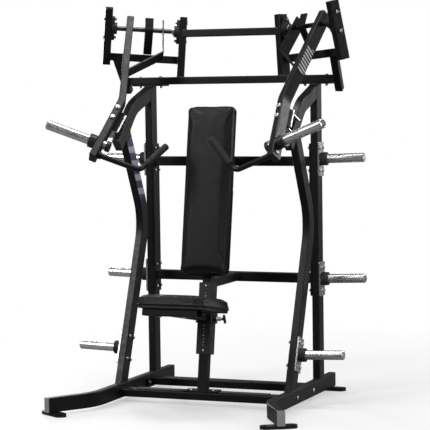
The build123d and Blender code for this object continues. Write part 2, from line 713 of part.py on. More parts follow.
inner_seat = Location(
    Plane(origin=(POST_W / 2 - POST_OFFSET, 0, 0), x_dir=(0, 1, 0), z_dir=(1, 0, 0))
)
outer_seat = Pos(POST_OFFSET - POST_W / 2, 0, 0) * outer_lean * Location(
    Plane(origin=(0, 0, 0), x_dir=(0, -1, 0), z_dir=(-1, 0, 0))
)
housings = []
balls = []
rings = []
for seat_location, collar_length in ((inner_seat, LOCK_COLLAR_LENGTH), (outer_seat, 0)):
    place = shoulder.location * seat_location
    housings += both(place * bearing_housing())
    rings.append(place * bearing_ring(collar_length))
    for ball in bearing_balls():
        balls += both(place * ball)
    for side in (-1, 1):
        head_point = Vector(0, side * HOUSING_BOLT, -POST_W)
        bolt_length = POST_W + HOUSING_FLANGE + NUT_H + BOLT_OVERRUN
        frame_bolts += both(place * bolt(head_point, -Z_AXIS, bolt_length))
        frame_nuts += both(place * nut(Vector(0, side * HOUSING_BOLT, HOUSING_FLANGE), Z_AXIS))
        through_post = Pos(0, side * HOUSING_BOLT, -POST_W / 2) * Cylinder(hole_r, 2 * POST_W)
        bolt_hole = seat_location * through_post
        inner_post -= bolt_hole
        outer_post -= bolt_hole
save("bearing_housings", housings)
save("bearing_balls", balls)

inner_post = shoulder * inner_post
outer_post = shoulder * outer_post
below_top_bar = solid_box(*SHOULDER_SPACE, (ARCH_END[1], TOP_BAR_TOP))
above_inner_post = solid_box(*SHOULDER_SPACE, (INNER_POST_TOP, INNER_POST_TOP + 4 * POST_D))
inner_post = main_solid(inner_post - below_top_bar - above_inner_post)
save("inner_posts", both(inner_post))
save("outer_posts", both(outer_post))

outer_post_end = shoulder.location * (
    Pos(POST_OFFSET, 0, 0) * outer_lean * Pos(0, 0, OUTER_POST_SPAN[1] - CAP)
)
outer_cap = extrude(RectangleRounded(POST_W, POST_D, CORNER), amount=CAP)
black_caps += both(outer_post_end * outer_cap)

tube_middle = (
    (SHOULDER_TUBE_Y[0] + SHOULDER_TUBE_Y[1]) / 2,
    (SHOULDER_TUBE_C[0] + SHOULDER_TUBE_C[1]) / 2,
)
shoulder_ends = ((-POST_OFFSET, *tube_middle), (POST_OFFSET, *tube_middle))
shoulder_tube = tube_between(*shoulder_ends, Y_AXIS, POST_W, POST_W)
shoulder_tube_solid = shoulder * tube_between(*shoulder_ends, Y_AXIS, POST_W, POST_W, hollow=False)
posts_space = inner_post_solid + outer_post_solid
past_inner_post = (-POST_OFFSET - POST_W, POST_W / 2 - POST_OFFSET)
past_outer_post = (POST_OFFSET - POST_W / 2, POST_OFFSET + POST_W)
beside_posts = ((-2 * POST_W, 2 * POST_W), (INNER_POST_SPAN[0], 0))
inner_limit = solid_box(past_inner_post, *beside_posts)
outer_limit = solid_box(past_outer_post, *beside_posts)
shoulder_tube = shoulder * (shoulder_tube - posts_space - inner_limit - outer_limit)

strut = tube_between(STRUT_TOP, STRUT_FOOT, X_AXIS, POST_W, POST_W)
strut = strut - shoulder_tube_solid
beside_top_bar = ((0, TOP_BAR_HALF), SHOULDER_SPACE[1], (ARCH_END[1], TOP_BAR_TOP + STRUT_TRIM))
strut = strut - solid_box(*beside_top_bar)
save("shoulder_tubes", both(main_solid(shoulder_tube)) + both(main_solid(strut)))

guard_profile = Plane(origin=(GUARD_A[0], 0, 0), x_dir=(0, 1, 0), z_dir=(1, 0, 0))
guard_strip = guard_profile * strip_outline(GUARD_POINTS, PLATE)
guard = extrude(guard_strip, amount=GUARD_A[1] - GUARD_A[0])
guard = main_solid(shoulder * guard - shoulder_tube_solid)
save("guard_plates", both(guard))

link_ends = [(side * LINK_TUBE_DRAWN, LINK_TUBE_Y, LINK_TUBE_Z) for side in (-1, 1)]
link = tube_between(*link_ends, Z_AXIS, POST_W, POST_W)
inner_post_world = shoulder * inner_post_solid
link = link - inner_post_world - mirrored(inner_post_world)
save("link_tube", min(link.solids(), key=lambda piece: abs(piece.center().X)))


# ---- Arms -----------------------------------------------------------------
swing = math.radians(ARM_SWING)
arm_up = post_up * math.cos(swing) - forward * math.sin(swing)
arm_plane = Plane(origin=PIVOT, x_dir=shaft_dir, z_dir=arm_up)

flare_turn = math.radians(ARM_FLARE)
bend_point = Vector(ARM_BEND[0], 0, ARM_BEND[1])
lower_down = Vector(math.sin(flare_turn), 0, -math.cos(flare_turn))
lower_across = Vector(math.cos(flare_turn), 0, math.sin(flare_turn))
lower_plane = Plane(origin=bend_point, x_dir=lower_across, z_dir=-lower_down)

arm_top = Vector(ARM_TOP[0], 0, ARM_TOP[1])
arm_first_run = (arm_top - bend_point).normalized()
arm_path = FilletPolyline(
    arm_top - arm_first_run * CAP,
    bend_point,
    bend_point + lower_down * (ARM_LOWER - CAP),
    radius=ARM_BEND_RADIUS,
)
arm_tube = tube_along(arm_path, Y_AXIS, ARM_D, ARM_W)
arm_space = tube_along(arm_path, Y_AXIS, ARM_D, ARM_W, hollow=False)
arm_tube -= rod(Vector(0, 0, 0), X_AXIS, SHAFT_R + TOUCH_GAP, SHAFT_HALF)

strap_profile = Plane(origin=(0, ARM_D / 2, 0), x_dir=(1, 0, 0), z_dir=(0, -1, 0))
strap = extrude(strap_profile * strip_outline(FORK_POINTS, PLATE), amount=ARM_D)
strap -= rod(Vector(-SHAFT_HALF, 0, 0), X_AXIS, SHAFT_R + TOUCH_GAP, SHAFT_HALF)
strap = main_solid(strap - arm_space)
arm_tube += strap


def lower_point(across, rearward, drop):
    """Point beside the arm's lower section, from its bend."""
    return bend_point + lower_across * across + Y_AXIS * rearward + lower_down * drop


arm_front = -ARM_D / 2
arm_rear = ARM_D / 2
bumper_bolt_length = ARM_D + BUMPER_BOLT_BITE
bumper = lower_plane * solid_box(
    BUMPER_U, (arm_rear, arm_rear + BUMPER_THICK), (-BUMPER_DROP[1], -BUMPER_DROP[0])
)
arm_bolts = []
for drop in BUMPER_BOLT_DROPS:
    seat = lower_point(0, arm_front, drop)
    arm_tube = drill(arm_tube, [seat], Y_AXIS, BUMPER_BOLT_R + HOLE_GAP, 2 * ARM_D)
    bolt_space = rod(seat, Y_AXIS, BUMPER_BOLT_R + TOUCH_GAP, bumper_bolt_length + TOUCH_GAP)
    bumper -= bolt_space
    arm_bolts.append(
        bolt(
            seat, -Y_AXIS, bumper_bolt_length, BUMPER_BOLT_R, BUMPER_BOLT_HEAD_R, BUMPER_BOLT_HEAD_H
        )
    )

horn_root = lower_point(HORN_IN, 0, HORN_DROP)
horn_shoulder = lower_point(HORN_ROOT_END_U, 0, HORN_DROP)
horn_axis = Axis(origin=(0, 0, 0), direction=lower_across)
horn = rod(horn_shoulder, lower_across, HORN_R, HORN_TIP - HORN_ROOT_END_U)
horn = chamfer(horn.edges().sort_by(horn_axis)[-1], HORN_CHAMFER)
horn += rod(horn_root, lower_across, HORN_ROOT_R, HORN_ROOT_END_U - HORN_IN)
horn -= rod(horn_root, lower_across, HORN_R - HORN_WALL, HORN_TIP - HORN_IN - HORN_END_WALL)
pin_hole = lower_point(HORN_PIN_HOLE_U, 0, HORN_DROP)
horn = drill(horn, [pin_hole], Y_AXIS, HORN_PIN_HOLE_R, 2 * HORN_R)
arm_tube -= rod(horn_root, lower_across, HORN_ROOT_R + TOUCH_GAP, 3 * ARM_W)
horn_collar = ring(
    lower_point(HORN_COLLAR_U[0], 0, HORN_DROP),
    lower_across,
    HORN_COLLAR_R,
    HORN_ROOT_R + TOUCH_GAP,
    HORN_COLLAR_U[1] - HORN_COLLAR_U[0],
)
horn_cap = rod(
    lower_point(HORN_CAP_U[0], 0, HORN_DROP), lower_across, HORN_CAP_R, HORN_CAP_U[1] - HORN_CAP_U[0]
)
horn_cap -= rod(
    lower_point(HORN_IN - TOUCH_GAP, 0, HORN_DROP), lower_across, HORN_ROOT_R + TOUCH_GAP, ARM_D
)
arm_caps = [
    horn_cap,
    horn_collar,
    tube_cap(arm_path @ 0, -(arm_path % 0), Y_AXIS, ARM_D, ARM_W),
    tube_cap(arm_path @ 1, arm_path % 1, Y_AXIS, ARM_D, ARM_W),
]
shaft = rod(Vector(-SHAFT_HALF, 0, 0), X_AXIS, SHAFT_R, 2 * SHAFT_HALF)
shaft = chamfer(shaft.edges().filter_by(GeomType.CIRCLE), SHAFT_CHAMFER)

# The handle turns on a bolt through the arm, along the horn's direction.
handle_eye = lower_point(-ARM_W / 2 - HOLE_GAP, 0, HANDLE_DROP)
handle_bolt_seat = lower_point(ARM_W / 2, 0, HANDLE_DROP)
inward = -lower_across
arm_tube = drill(
    arm_tube, [handle_bolt_seat], lower_across, HANDLE_BOLT_R + HOLE_GAP, 2 * ARM_W
)
eye_thick = HANDLE_EYE_FLOOR + HOLE_GAP
handle_bolt_length = ARM_W + HOLE_GAP + eye_thick + HANDLE_NUT_H + HANDLE_THREAD_SHOWING
arm_bolts.append(bolt(handle_bolt_seat, lower_across, handle_bolt_length, HANDLE_BOLT_R))
handle_nut = RegularPolygon(HANDLE_NUT_R, 6) - Circle(HANDLE_BOLT_R + TOUCH_GAP)
handle_nut_plane = Plane(origin=handle_eye + inward * eye_thick, z_dir=inward)
arm_bolts.append(extrude(handle_nut_plane * handle_nut, amount=HANDLE_NUT_H))


# ---- Handles --------------------------------------------------------------
def handle_parts(phase_degrees):
    """Bar and grip with the second part turned about the bar's axis."""
    phase = math.radians(phase_degrees)
    turn = math.radians(HANDLE_TURN)
    side = inward.cross(lower_down)
    away = lower_down * math.cos(phase) + side * math.sin(phase)
    second = inward * math.cos(turn) + away * math.sin(turn)
    corner = lower_point(HANDLE_CORNER_U, 0, HANDLE_DROP)
    path = FilletPolyline(
        handle_eye, corner, corner + second * HANDLE_SECOND, radius=HANDLE_BEND_RADIUS
    )
    eye_plane = Plane(origin=handle_eye, z_dir=inward)
    bore_r = HANDLE_R - HANDLE_WALL
    bar = sweep(eye_plane * Circle(HANDLE_R), path=path)
    bar -= sweep(eye_plane * Circle(bore_r), path=path)
    eye = rod(handle_eye, inward, HANDLE_COLLAR_R, HANDLE_COLLAR_LENGTH)
    eye -= rod(handle_eye + inward * HANDLE_EYE_FLOOR, inward, bore_r, HANDLE_COLLAR_LENGTH)
    bar = bar + eye
    bar -= rod(handle_eye, inward, HANDLE_BOLT_R + RUN_GAP, eye_thick)
    grip_start = corner + second * GRIP_START
    grip_length = HANDLE_SECOND - GRIP_START + GRIP_END
    grip = rod(grip_start, second, GRIP_R, grip_length)
    grip_axis = Axis(origin=(0, 0, 0), direction=second)
    grip = fillet(grip.edges().sort_by(grip_axis)[-1], GRIP_END_ROUND)
    grip = fillet(grip.edges().sort_by(grip_axis)[0], GRIP_START_ROUND)
    grip -= rod(grip_start, second, HANDLE_R + TOUCH_GAP, HANDLE_SECOND - GRIP_START + TOUCH_GAP)
    return bar, grip


def place_arm(shape, side):
    """Move an arm piece into place on one side of the machine."""
    placed = arm_plane * shape
    return placed if side == "right" else mirrored(placed)


for side, phase in (("right", HANDLE_PHASE_RIGHT), ("left", HANDLE_PHASE_LEFT)):
    bar, grip = handle_parts(phase)
    save(f"arm_tube_{side}", place_arm(arm_tube, side))
    save(f"arm_shaft_{side}", place_arm(shaft, side))
    save(f"arm_caps_{side}", [place_arm(piece, side) for piece in arm_caps])
    save(f"arm_bolts_{side}", [place_arm(piece, side) for piece in arm_bolts])
    save(f"bumper_{side}", place_arm(bumper, side))
    save(f"horn_{side}", place_arm(horn, side))
    save(f"handle_bar_{side}", place_arm(bar, side))
    save(f"handle_grip_{side}", place_arm(grip, side))
    ring_pair = rings if side == "right" else [mirrored(piece) for piece in rings]
    save(f"bearing_rings_{side}", ring_pair)


# ---- Arm stops ------------------------------------------------------------
stop_near = arm_rear + BUMPER_THICK
stop_y = (stop_near, stop_near + STOP_PLATE)
stop = solid_box(STOP_U, stop_y, (-STOP_DROP[1], -STOP_DROP[0]))
for web_drop in (STOP_DROP[0], STOP_DROP[1] - STOP_PLATE):
    web_y = (stop_near, stop_near + STOP_WEB_DEPTH)
    stop += solid_box(STOP_WEB_U, web_y, (-web_drop - STOP_PLATE, -web_drop))
stop = arm_plane * (lower_plane * stop)
arch_front = Plane(
    origin=arch_end + Vector(0, arch_down.Z, -arch_down.Y) * (TUBE_D / 2),
    x_dir=X_AXIS,
    z_dir=arch_down.cross(X_AXIS),
)
arch_side = 2 * STOP_WEB_DEPTH
behind_arch_front = Location(arch_front) * solid_box(
    (-arch_side, arch_side), (-arch_side, arch_side), (-arch_side, 0)
)
stop = main_solid(stop - behind_arch_front)
save("stop_brackets", both(stop))
save("black_tube_caps", black_caps)
save("rail_end_caps", rail_caps)


# ---- Seat post, sleeve and back pad ---------------------------------------
lean = math.radians(POST_LEAN)
post_dir = Vector(0, math.sin(lean), math.cos(lean))
post_plane = Plane(origin=(0, POST_BASE_Y, POST_BASE_Z), x_dir=X_AXIS, z_dir=post_dir)
post_middle = SQUARE / 2
post_line = ((0, post_middle, -POST_OVERRUN), (0, post_middle, POST_LENGTH))
below_base = Pos(0, POST_BASE_Y, POST_BASE_Z - SQUARE) * Box(4 * SQUARE, 4 * SQUARE, 2 * SQUARE)
seat_post = post_plane * tube_between(*post_line, X_AXIS, SQUARE, SQUARE) - below_base
post_space = post_plane * tube_between(*post_line, X_AXIS, SQUARE, SQUARE, hollow=False)
base_plate = solid_box((-BASE_PLATE_X, BASE_PLATE_X), FRONT_BAR_Y, (base_bar_top, POST_BASE_Z))
seat_post += drill(base_plate, post_bolt_seats, Z_AXIS, hole_r, BASE_PLATE_BOLT_INSET)
for level in CROSSBAR_Z:
    stub_front = (0, POST_BASE_Y, level)
    stub_back = (0, CROSSBAR_Y - SQUARE / 2, level)
    stub = tube_between(stub_front, stub_back, X_AXIS, SQUARE, SQUARE) - post_space
    seat_post += stub.solids().sort_by(Axis.Y)[-1]

pad_rear = BACK_PAD_FRONT + BACK_PAD_THICK
board_rear = pad_rear + BACK_BOARD_THICK
back_screws = []
for level in PAD_MOUNTS:
    mount_z = (level - PAD_MOUNT_HALF, level + PAD_MOUNT_HALF)
    mount = solid_box((-PAD_MOUNT_X, PAD_MOUNT_X), (board_rear, 0), mount_z)
    for side in (-1, 1):
        seat = Vector(side * PAD_SCREW_X, 0, level)
        mount = drill(mount, [seat], Y_AXIS, SCREW_R + HOLE_GAP, THROUGH)
        screw_length = -board_rear + PAD_SCREW_BITE
        back_screws.append(
            post_plane * bolt(seat, Y_AXIS, screw_length, SCREW_R, SCREW_HEAD_R, SCREW_HEAD_H)
        )
    seat_post += post_plane * mount


def cushion(width, length, thick, corner, edge):
    """Flat-backed cushion with rounded corners and softened edges."""
    body = extrude(RectangleRounded(width, length, corner), amount=thick)
    return fillet(body.edges().group_by(Axis.Z)[-1], edge)


def board(width, length, thick, corner, screw_places, screw_r, screw_depth):
    """Backing board with blind screw holes in its rear face, z = 0."""
    body = extrude(RectangleRounded(width, length, corner), amount=thick)
    for place in screw_places:
        body -= Pos(place[0], place[1], screw_depth / 2) * Cylinder(screw_r, screw_depth)
    return body


pad_length = BACK_PAD_SPAN[1] - BACK_PAD_SPAN[0]
pad_centre_z = (BACK_PAD_SPAN[0] + BACK_PAD_SPAN[1]) / 2
pad_seat = Plane(origin=(0, pad_rear, pad_centre_z), x_dir=(1, 0, 0), z_dir=(0, -1, 0))
board_seat = Plane(origin=(0, board_rear, pad_centre_z), x_dir=(1, 0, 0), z_dir=(0, -1, 0))
back_pad = cushion(BACK_PAD_W, pad_length, BACK_PAD_THICK, BACK_PAD_CORNER, BACK_PAD_EDGE)
back_screw_places = [
    (side * PAD_SCREW_X, level - pad_centre_z) for side in (-1, 1) for level in PAD_MOUNTS
]
back_board = board(
    BACK_PAD_W - 2 * BOARD_INSET,
    pad_length - 2 * BOARD_INSET,
    BACK_BOARD_THICK,
    BACK_PAD_CORNER - BOARD_INSET,
    back_screw_places,
    SCREW_R + TOUCH_GAP,
    PAD_SCREW_HOLE,
)
save("back_pad", post_plane * (pad_seat * back_pad))
save("back_board", post_plane * (board_seat * back_board))

sleeve_y = (SLEEVE_FRONT, SLEEVE_BACK)
sleeve = solid_box((-SLEEVE_W / 2, SLEEVE_W / 2), sleeve_y, SLEEVE_SPAN)
sleeve = fillet(sleeve.edges().filter_by(Axis.Z), SLEEVE_CORNER)
post_hole = SQUARE / 2 + TOUCH_GAP
hole_y = (-TOUCH_GAP, SQUARE + TOUCH_GAP)
sleeve -= solid_box((-post_hole, post_hole), hole_y, (0, BACK_PAD_SPAN[1]))
stub_notch = SQUARE / 2 + HOLE_GAP
notch_y = (SQUARE, SLEEVE_BACK + WALL)
sleeve -= solid_box((-stub_notch, stub_notch), notch_y, (SLEEVE_NOTCH_FROM, BACK_PAD_SPAN[1]))
seat_hole_levels = [
    PIN_Z + SEAT_STEP * step for step in range(-SEAT_STEPS_EACH_WAY, SEAT_STEPS_EACH_WAY + 1)
]
seat_holes = [Vector(SLEEVE_W / 2, PIN_Y, level) for level in seat_hole_levels]
sleeve = drill(sleeve, seat_holes, X_AXIS, PIN_R + HOLE_GAP, SEAT_HOLE_DEPTH)
sleeve_screws = []
for level in (SLEEVE_SPAN[0] + SLEEVE_SCREW_INSET, SLEEVE_SPAN[1] - SLEEVE_SCREW_INSET):
    seat = Vector(0, SLEEVE_FRONT + SCREW_HEAD_H, level)
    sleeve = drill(sleeve, [seat], Y_AXIS, SCREW_HEAD_R + HOLE_GAP, SCREW_HEAD_H)
    sleeve = drill(sleeve, [seat], Y_AXIS, SCREW_R + HOLE_GAP, 2 * SLEEVE_SCREW_LENGTH)
    post_screw_depth = SLEEVE_SCREW_LENGTH + WALL
    seat_post -= post_plane * rod(seat, Y_AXIS, SCREW_R + HOLE_GAP, post_screw_depth)
    sleeve_screw = bolt(seat, -Y_AXIS, SLEEVE_SCREW_LENGTH, SCREW_R, SCREW_HEAD_R, SCREW_HEAD_H)
    sleeve_screws.append(post_plane * sleeve_screw)
save("seat_post", seat_post)
save("post_sleeve", post_plane * sleeve)
save("frame_bolts", frame_bolts)
save("frame_nuts", frame_nuts)
save("small_screws", back_screws + sleeve_screws)


# ---- Seat -----------------------------------------------------------------
tilt = math.radians(SEAT_TILT)
seat_plane = Plane(
    origin=(0, SEAT_FRONT_TOP[0], SEAT_FRONT_TOP[1]),
    x_dir=X_AXIS,
    z_dir=(0, math.sin(tilt), math.cos(tilt)),
)
seat_cushion = cushion(SEAT_W, SEAT_LENGTH, SEAT_THICK, SEAT_CORNER, SEAT_EDGE)
seat_pad = Pos(0, SEAT_LENGTH / 2, -SEAT_THICK) * seat_cushion
seat_board_bottom = -SEAT_THICK - SEAT_BOARD_THICK
cross_middle_y = (CROSS_MEMBER_Y[0] + CROSS_MEMBER_Y[1]) / 2
seat_bolt_places = [(side * SEAT_BOLT_X, cross_middle_y) for side in (-1, 1)]
seat_board = board(
    SEAT_W - 2 * BOARD_INSET,
    SEAT_LENGTH - 2 * BOARD_INSET,
    SEAT_BOARD_THICK,
    SEAT_CORNER - BOARD_INSET,
    [(x, y - SEAT_LENGTH / 2) for x, y in seat_bolt_places],
    BOLT_R + TOUCH_GAP,
    SEAT_BOLT_BITE + TOUCH_GAP,
)
seat_board = Pos(0, SEAT_LENGTH / 2, seat_board_bottom) * seat_board
save("seat_pad", seat_plane * seat_pad)
save("seat_board", seat_plane * seat_board)

member_z = seat_board_bottom - CROSS_MEMBER_H / 2
member_bottom = seat_board_bottom - CROSS_MEMBER_H
member_half = CROSS_MEMBER_W / 2
member_ends = [(side * member_half, cross_middle_y, member_z) for side in (-1, 1)]
member_width = CROSS_MEMBER_Y[1] - CROSS_MEMBER_Y[0]
cross_member = tube_between(*member_ends, Z_AXIS, CROSS_MEMBER_H, member_width)
centre_ends = ((0, CROSS_MEMBER_Y[1], member_z), (0, CENTRE_TUBE_DRAWN, member_z))
centre_tube = tube_between(*centre_ends, X_AXIS, SQUARE, CROSS_MEMBER_H)
seat_bolts = []
for place_x, place_y in seat_bolt_places:
    seat = Vector(place_x, place_y, member_bottom)
    cross_member = drill(cross_member, [seat], Z_AXIS, hole_r, THROUGH)
    seat_bolts.append(seat_plane * bolt(seat, -Z_AXIS, CROSS_MEMBER_H + SEAT_BOLT_BITE))
save("seat_bolts", seat_bolts)

liner_in_x = SLEEVE_W / 2 + RUN_GAP
liner_in_y = (SLEEVE_FRONT - RUN_GAP, SLEEVE_BACK + RUN_GAP)
carriage_z = (CARRIAGE_CENTRE - CARRIAGE_HALF, CARRIAGE_CENTRE + CARRIAGE_HALF)


def sleeve_box(grow, corner):
    """Solid round the sleeve's space, grown by a wall."""
    body = solid_box(
        (-liner_in_x - grow, liner_in_x + grow),
        (liner_in_y[0] - grow, liner_in_y[1] + grow),
        carriage_z,
    )
    return fillet(body.edges().filter_by(Axis.Z), corner)


def pin_rod(from_x, to_x, radius):
    """Cylinder on the locking pin's axis."""
    return rod(Vector(from_x, PIN_Y, PIN_Z), X_AXIS, radius, to_x - from_x)


liner_outer = sleeve_box(LINER_WALL, SLEEVE_CORNER + LINER_WALL)
carriage_grow = LINER_WALL + CARRIAGE_WALL
carriage_outer = sleeve_box(carriage_grow, SLEEVE_CORNER + carriage_grow)
liner = liner_outer - sleeve_box(0, SLEEVE_CORNER)
carriage = carriage_outer - liner_outer
boss = pin_rod(SQUARE / 2, PIN_BOSS_X[1], PIN_BOSS_R)
carriage += boss - carriage_outer
pin_hole_space = pin_rod(SQUARE / 2, PIN_HANDLE_X[1], PIN_R + RUN_GAP)
carriage -= pin_hole_space
flange_floor = PIN_FLANGE_X[0] - PIN_TRAVEL - PIN_SLACK
carriage -= pin_rod(flange_floor, PIN_HOUSING_X[1], PIN_BORE_R)
liner -= pin_hole_space
carriage_world = post_plane * carriage
carriage_space = post_plane * carriage_outer
seat_frame = seat_plane * (cross_member + centre_tube)
seat_frame = main_solid(seat_frame - carriage_space)
save("seat_frame", seat_frame + carriage_world)
save("carriage_liner", post_plane * liner)

spring_end_x = PIN_HOUSING_X[1] - HOUSING_END_WALL
housing = pin_rod(PIN_HOUSING_X[0], PIN_HOUSING_X[1], PIN_HOUSING_R)
housing = chamfer(housing.edges().sort_by(Axis.X)[-1], HOUSING_CHAMFER)
housing -= pin_rod(PIN_HOUSING_X[0], spring_end_x, PIN_BORE_R)
housing -= pin_hole_space
save("pin_housing", post_plane * housing)

pin_end_x = PIN_HANDLE_X[0] + PIN_IN_STEM
pin = pin_rod(PIN_TIP_X, pin_end_x, PIN_R)
pin = chamfer(pin.edges().sort_by(Axis.X)[0], PIN_CHAMFER)
pin += pin_rod(PIN_FLANGE_X[0], PIN_FLANGE_X[1], PIN_BORE_R - PIN_FLANGE_GAP)
stem = pin_rod(PIN_HANDLE_X[0], PIN_HANDLE_X[1] - PIN_STEM_SHORT, PIN_STEM_R)
slant = math.radians(PIN_HANDLE_SLANT)
slant_dir = Vector(0, -math.sin(slant), math.cos(slant))
cross_centre = Vector(PIN_HANDLE_X[1] - PIN_HANDLE_R, PIN_Y, PIN_Z)
cross_start = cross_centre - slant_dir * PIN_HANDLE_LENGTH / 2
cross_grip = rod(cross_start, slant_dir, PIN_HANDLE_R, PIN_HANDLE_LENGTH)
cross_grip = fillet(cross_grip.edges().filter_by(GeomType.CIRCLE), PIN_HANDLE_ROUND)
knob = stem + cross_grip
knob -= pin_rod(PIN_TIP_X, pin_end_x + TOUCH_GAP, PIN_R + TOUCH_GAP)
save("pop_pin", post_plane * pin)
save("pin_knob", post_plane * knob)

spring_end_space = SPRING_WIRE_R + SPRING_GAP
spring_length = spring_end_x - PIN_FLANGE_X[1] - 2 * spring_end_space
spring_start = Vector(PIN_FLANGE_X[1] + spring_end_space, PIN_Y, PIN_Z)
coil = Helix(spring_length / SPRING_TURNS, spring_length, SPRING_R)
wire_section = Plane(origin=coil @ 0, z_dir=coil % 0) * Circle(SPRING_WIRE_R)
spring = sweep(wire_section, path=coil, is_frenet=True)
spring = Plane(origin=spring_start, z_dir=X_AXIS) * spring
save("pin_spring", post_plane * spring)
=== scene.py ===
import json
import math

import bmesh
import bpy
from mathutils import Matrix, Vector
from mathutils.bvhtree import BVHTree


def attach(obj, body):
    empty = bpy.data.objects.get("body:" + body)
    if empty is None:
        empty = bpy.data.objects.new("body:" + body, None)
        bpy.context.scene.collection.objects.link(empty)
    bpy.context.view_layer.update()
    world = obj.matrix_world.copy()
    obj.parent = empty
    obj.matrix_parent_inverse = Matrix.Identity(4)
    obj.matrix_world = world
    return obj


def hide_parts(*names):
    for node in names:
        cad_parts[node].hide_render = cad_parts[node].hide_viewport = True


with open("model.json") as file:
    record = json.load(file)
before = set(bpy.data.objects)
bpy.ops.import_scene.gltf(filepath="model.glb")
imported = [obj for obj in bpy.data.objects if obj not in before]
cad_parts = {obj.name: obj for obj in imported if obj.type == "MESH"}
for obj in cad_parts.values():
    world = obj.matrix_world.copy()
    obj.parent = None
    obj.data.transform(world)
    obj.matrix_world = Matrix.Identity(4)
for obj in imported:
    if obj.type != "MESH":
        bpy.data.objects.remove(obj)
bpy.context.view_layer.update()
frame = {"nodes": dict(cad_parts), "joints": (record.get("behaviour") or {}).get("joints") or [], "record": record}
nodes = frame["nodes"]
joints = {joint["name"]: joint for joint in frame["joints"]}
MM = 0.001
SIDES = (("right", 1.0), ("left", -1.0))        # the side's name and the sign of its x
X_AXIS = Vector((1, 0, 0))
Z_AXIS = Vector((0, 0, 1))


# ---- Materials ------------------------------------------------------------
BEVEL_SAMPLES = 4
WEAR_AND_HIGHLIGHT_COSINE = (0.72, 0.99)      # face against its rounded edge: fully lightened, not lightened (wear plus painted edge highlight)
WEAR_AND_HIGHLIGHT_BREAKS = (0.42, 0.62)      # noise levels over which the lighter edge (wear plus painted highlight) fades in
WEAR_AND_HIGHLIGHT_FLOOR = 0.1                # share of the lighter edge (wear plus painted highlight) left between the breaks
ROUGHNESS_NOISE = (0.3, 0.7)    # noise levels spread over the roughness range

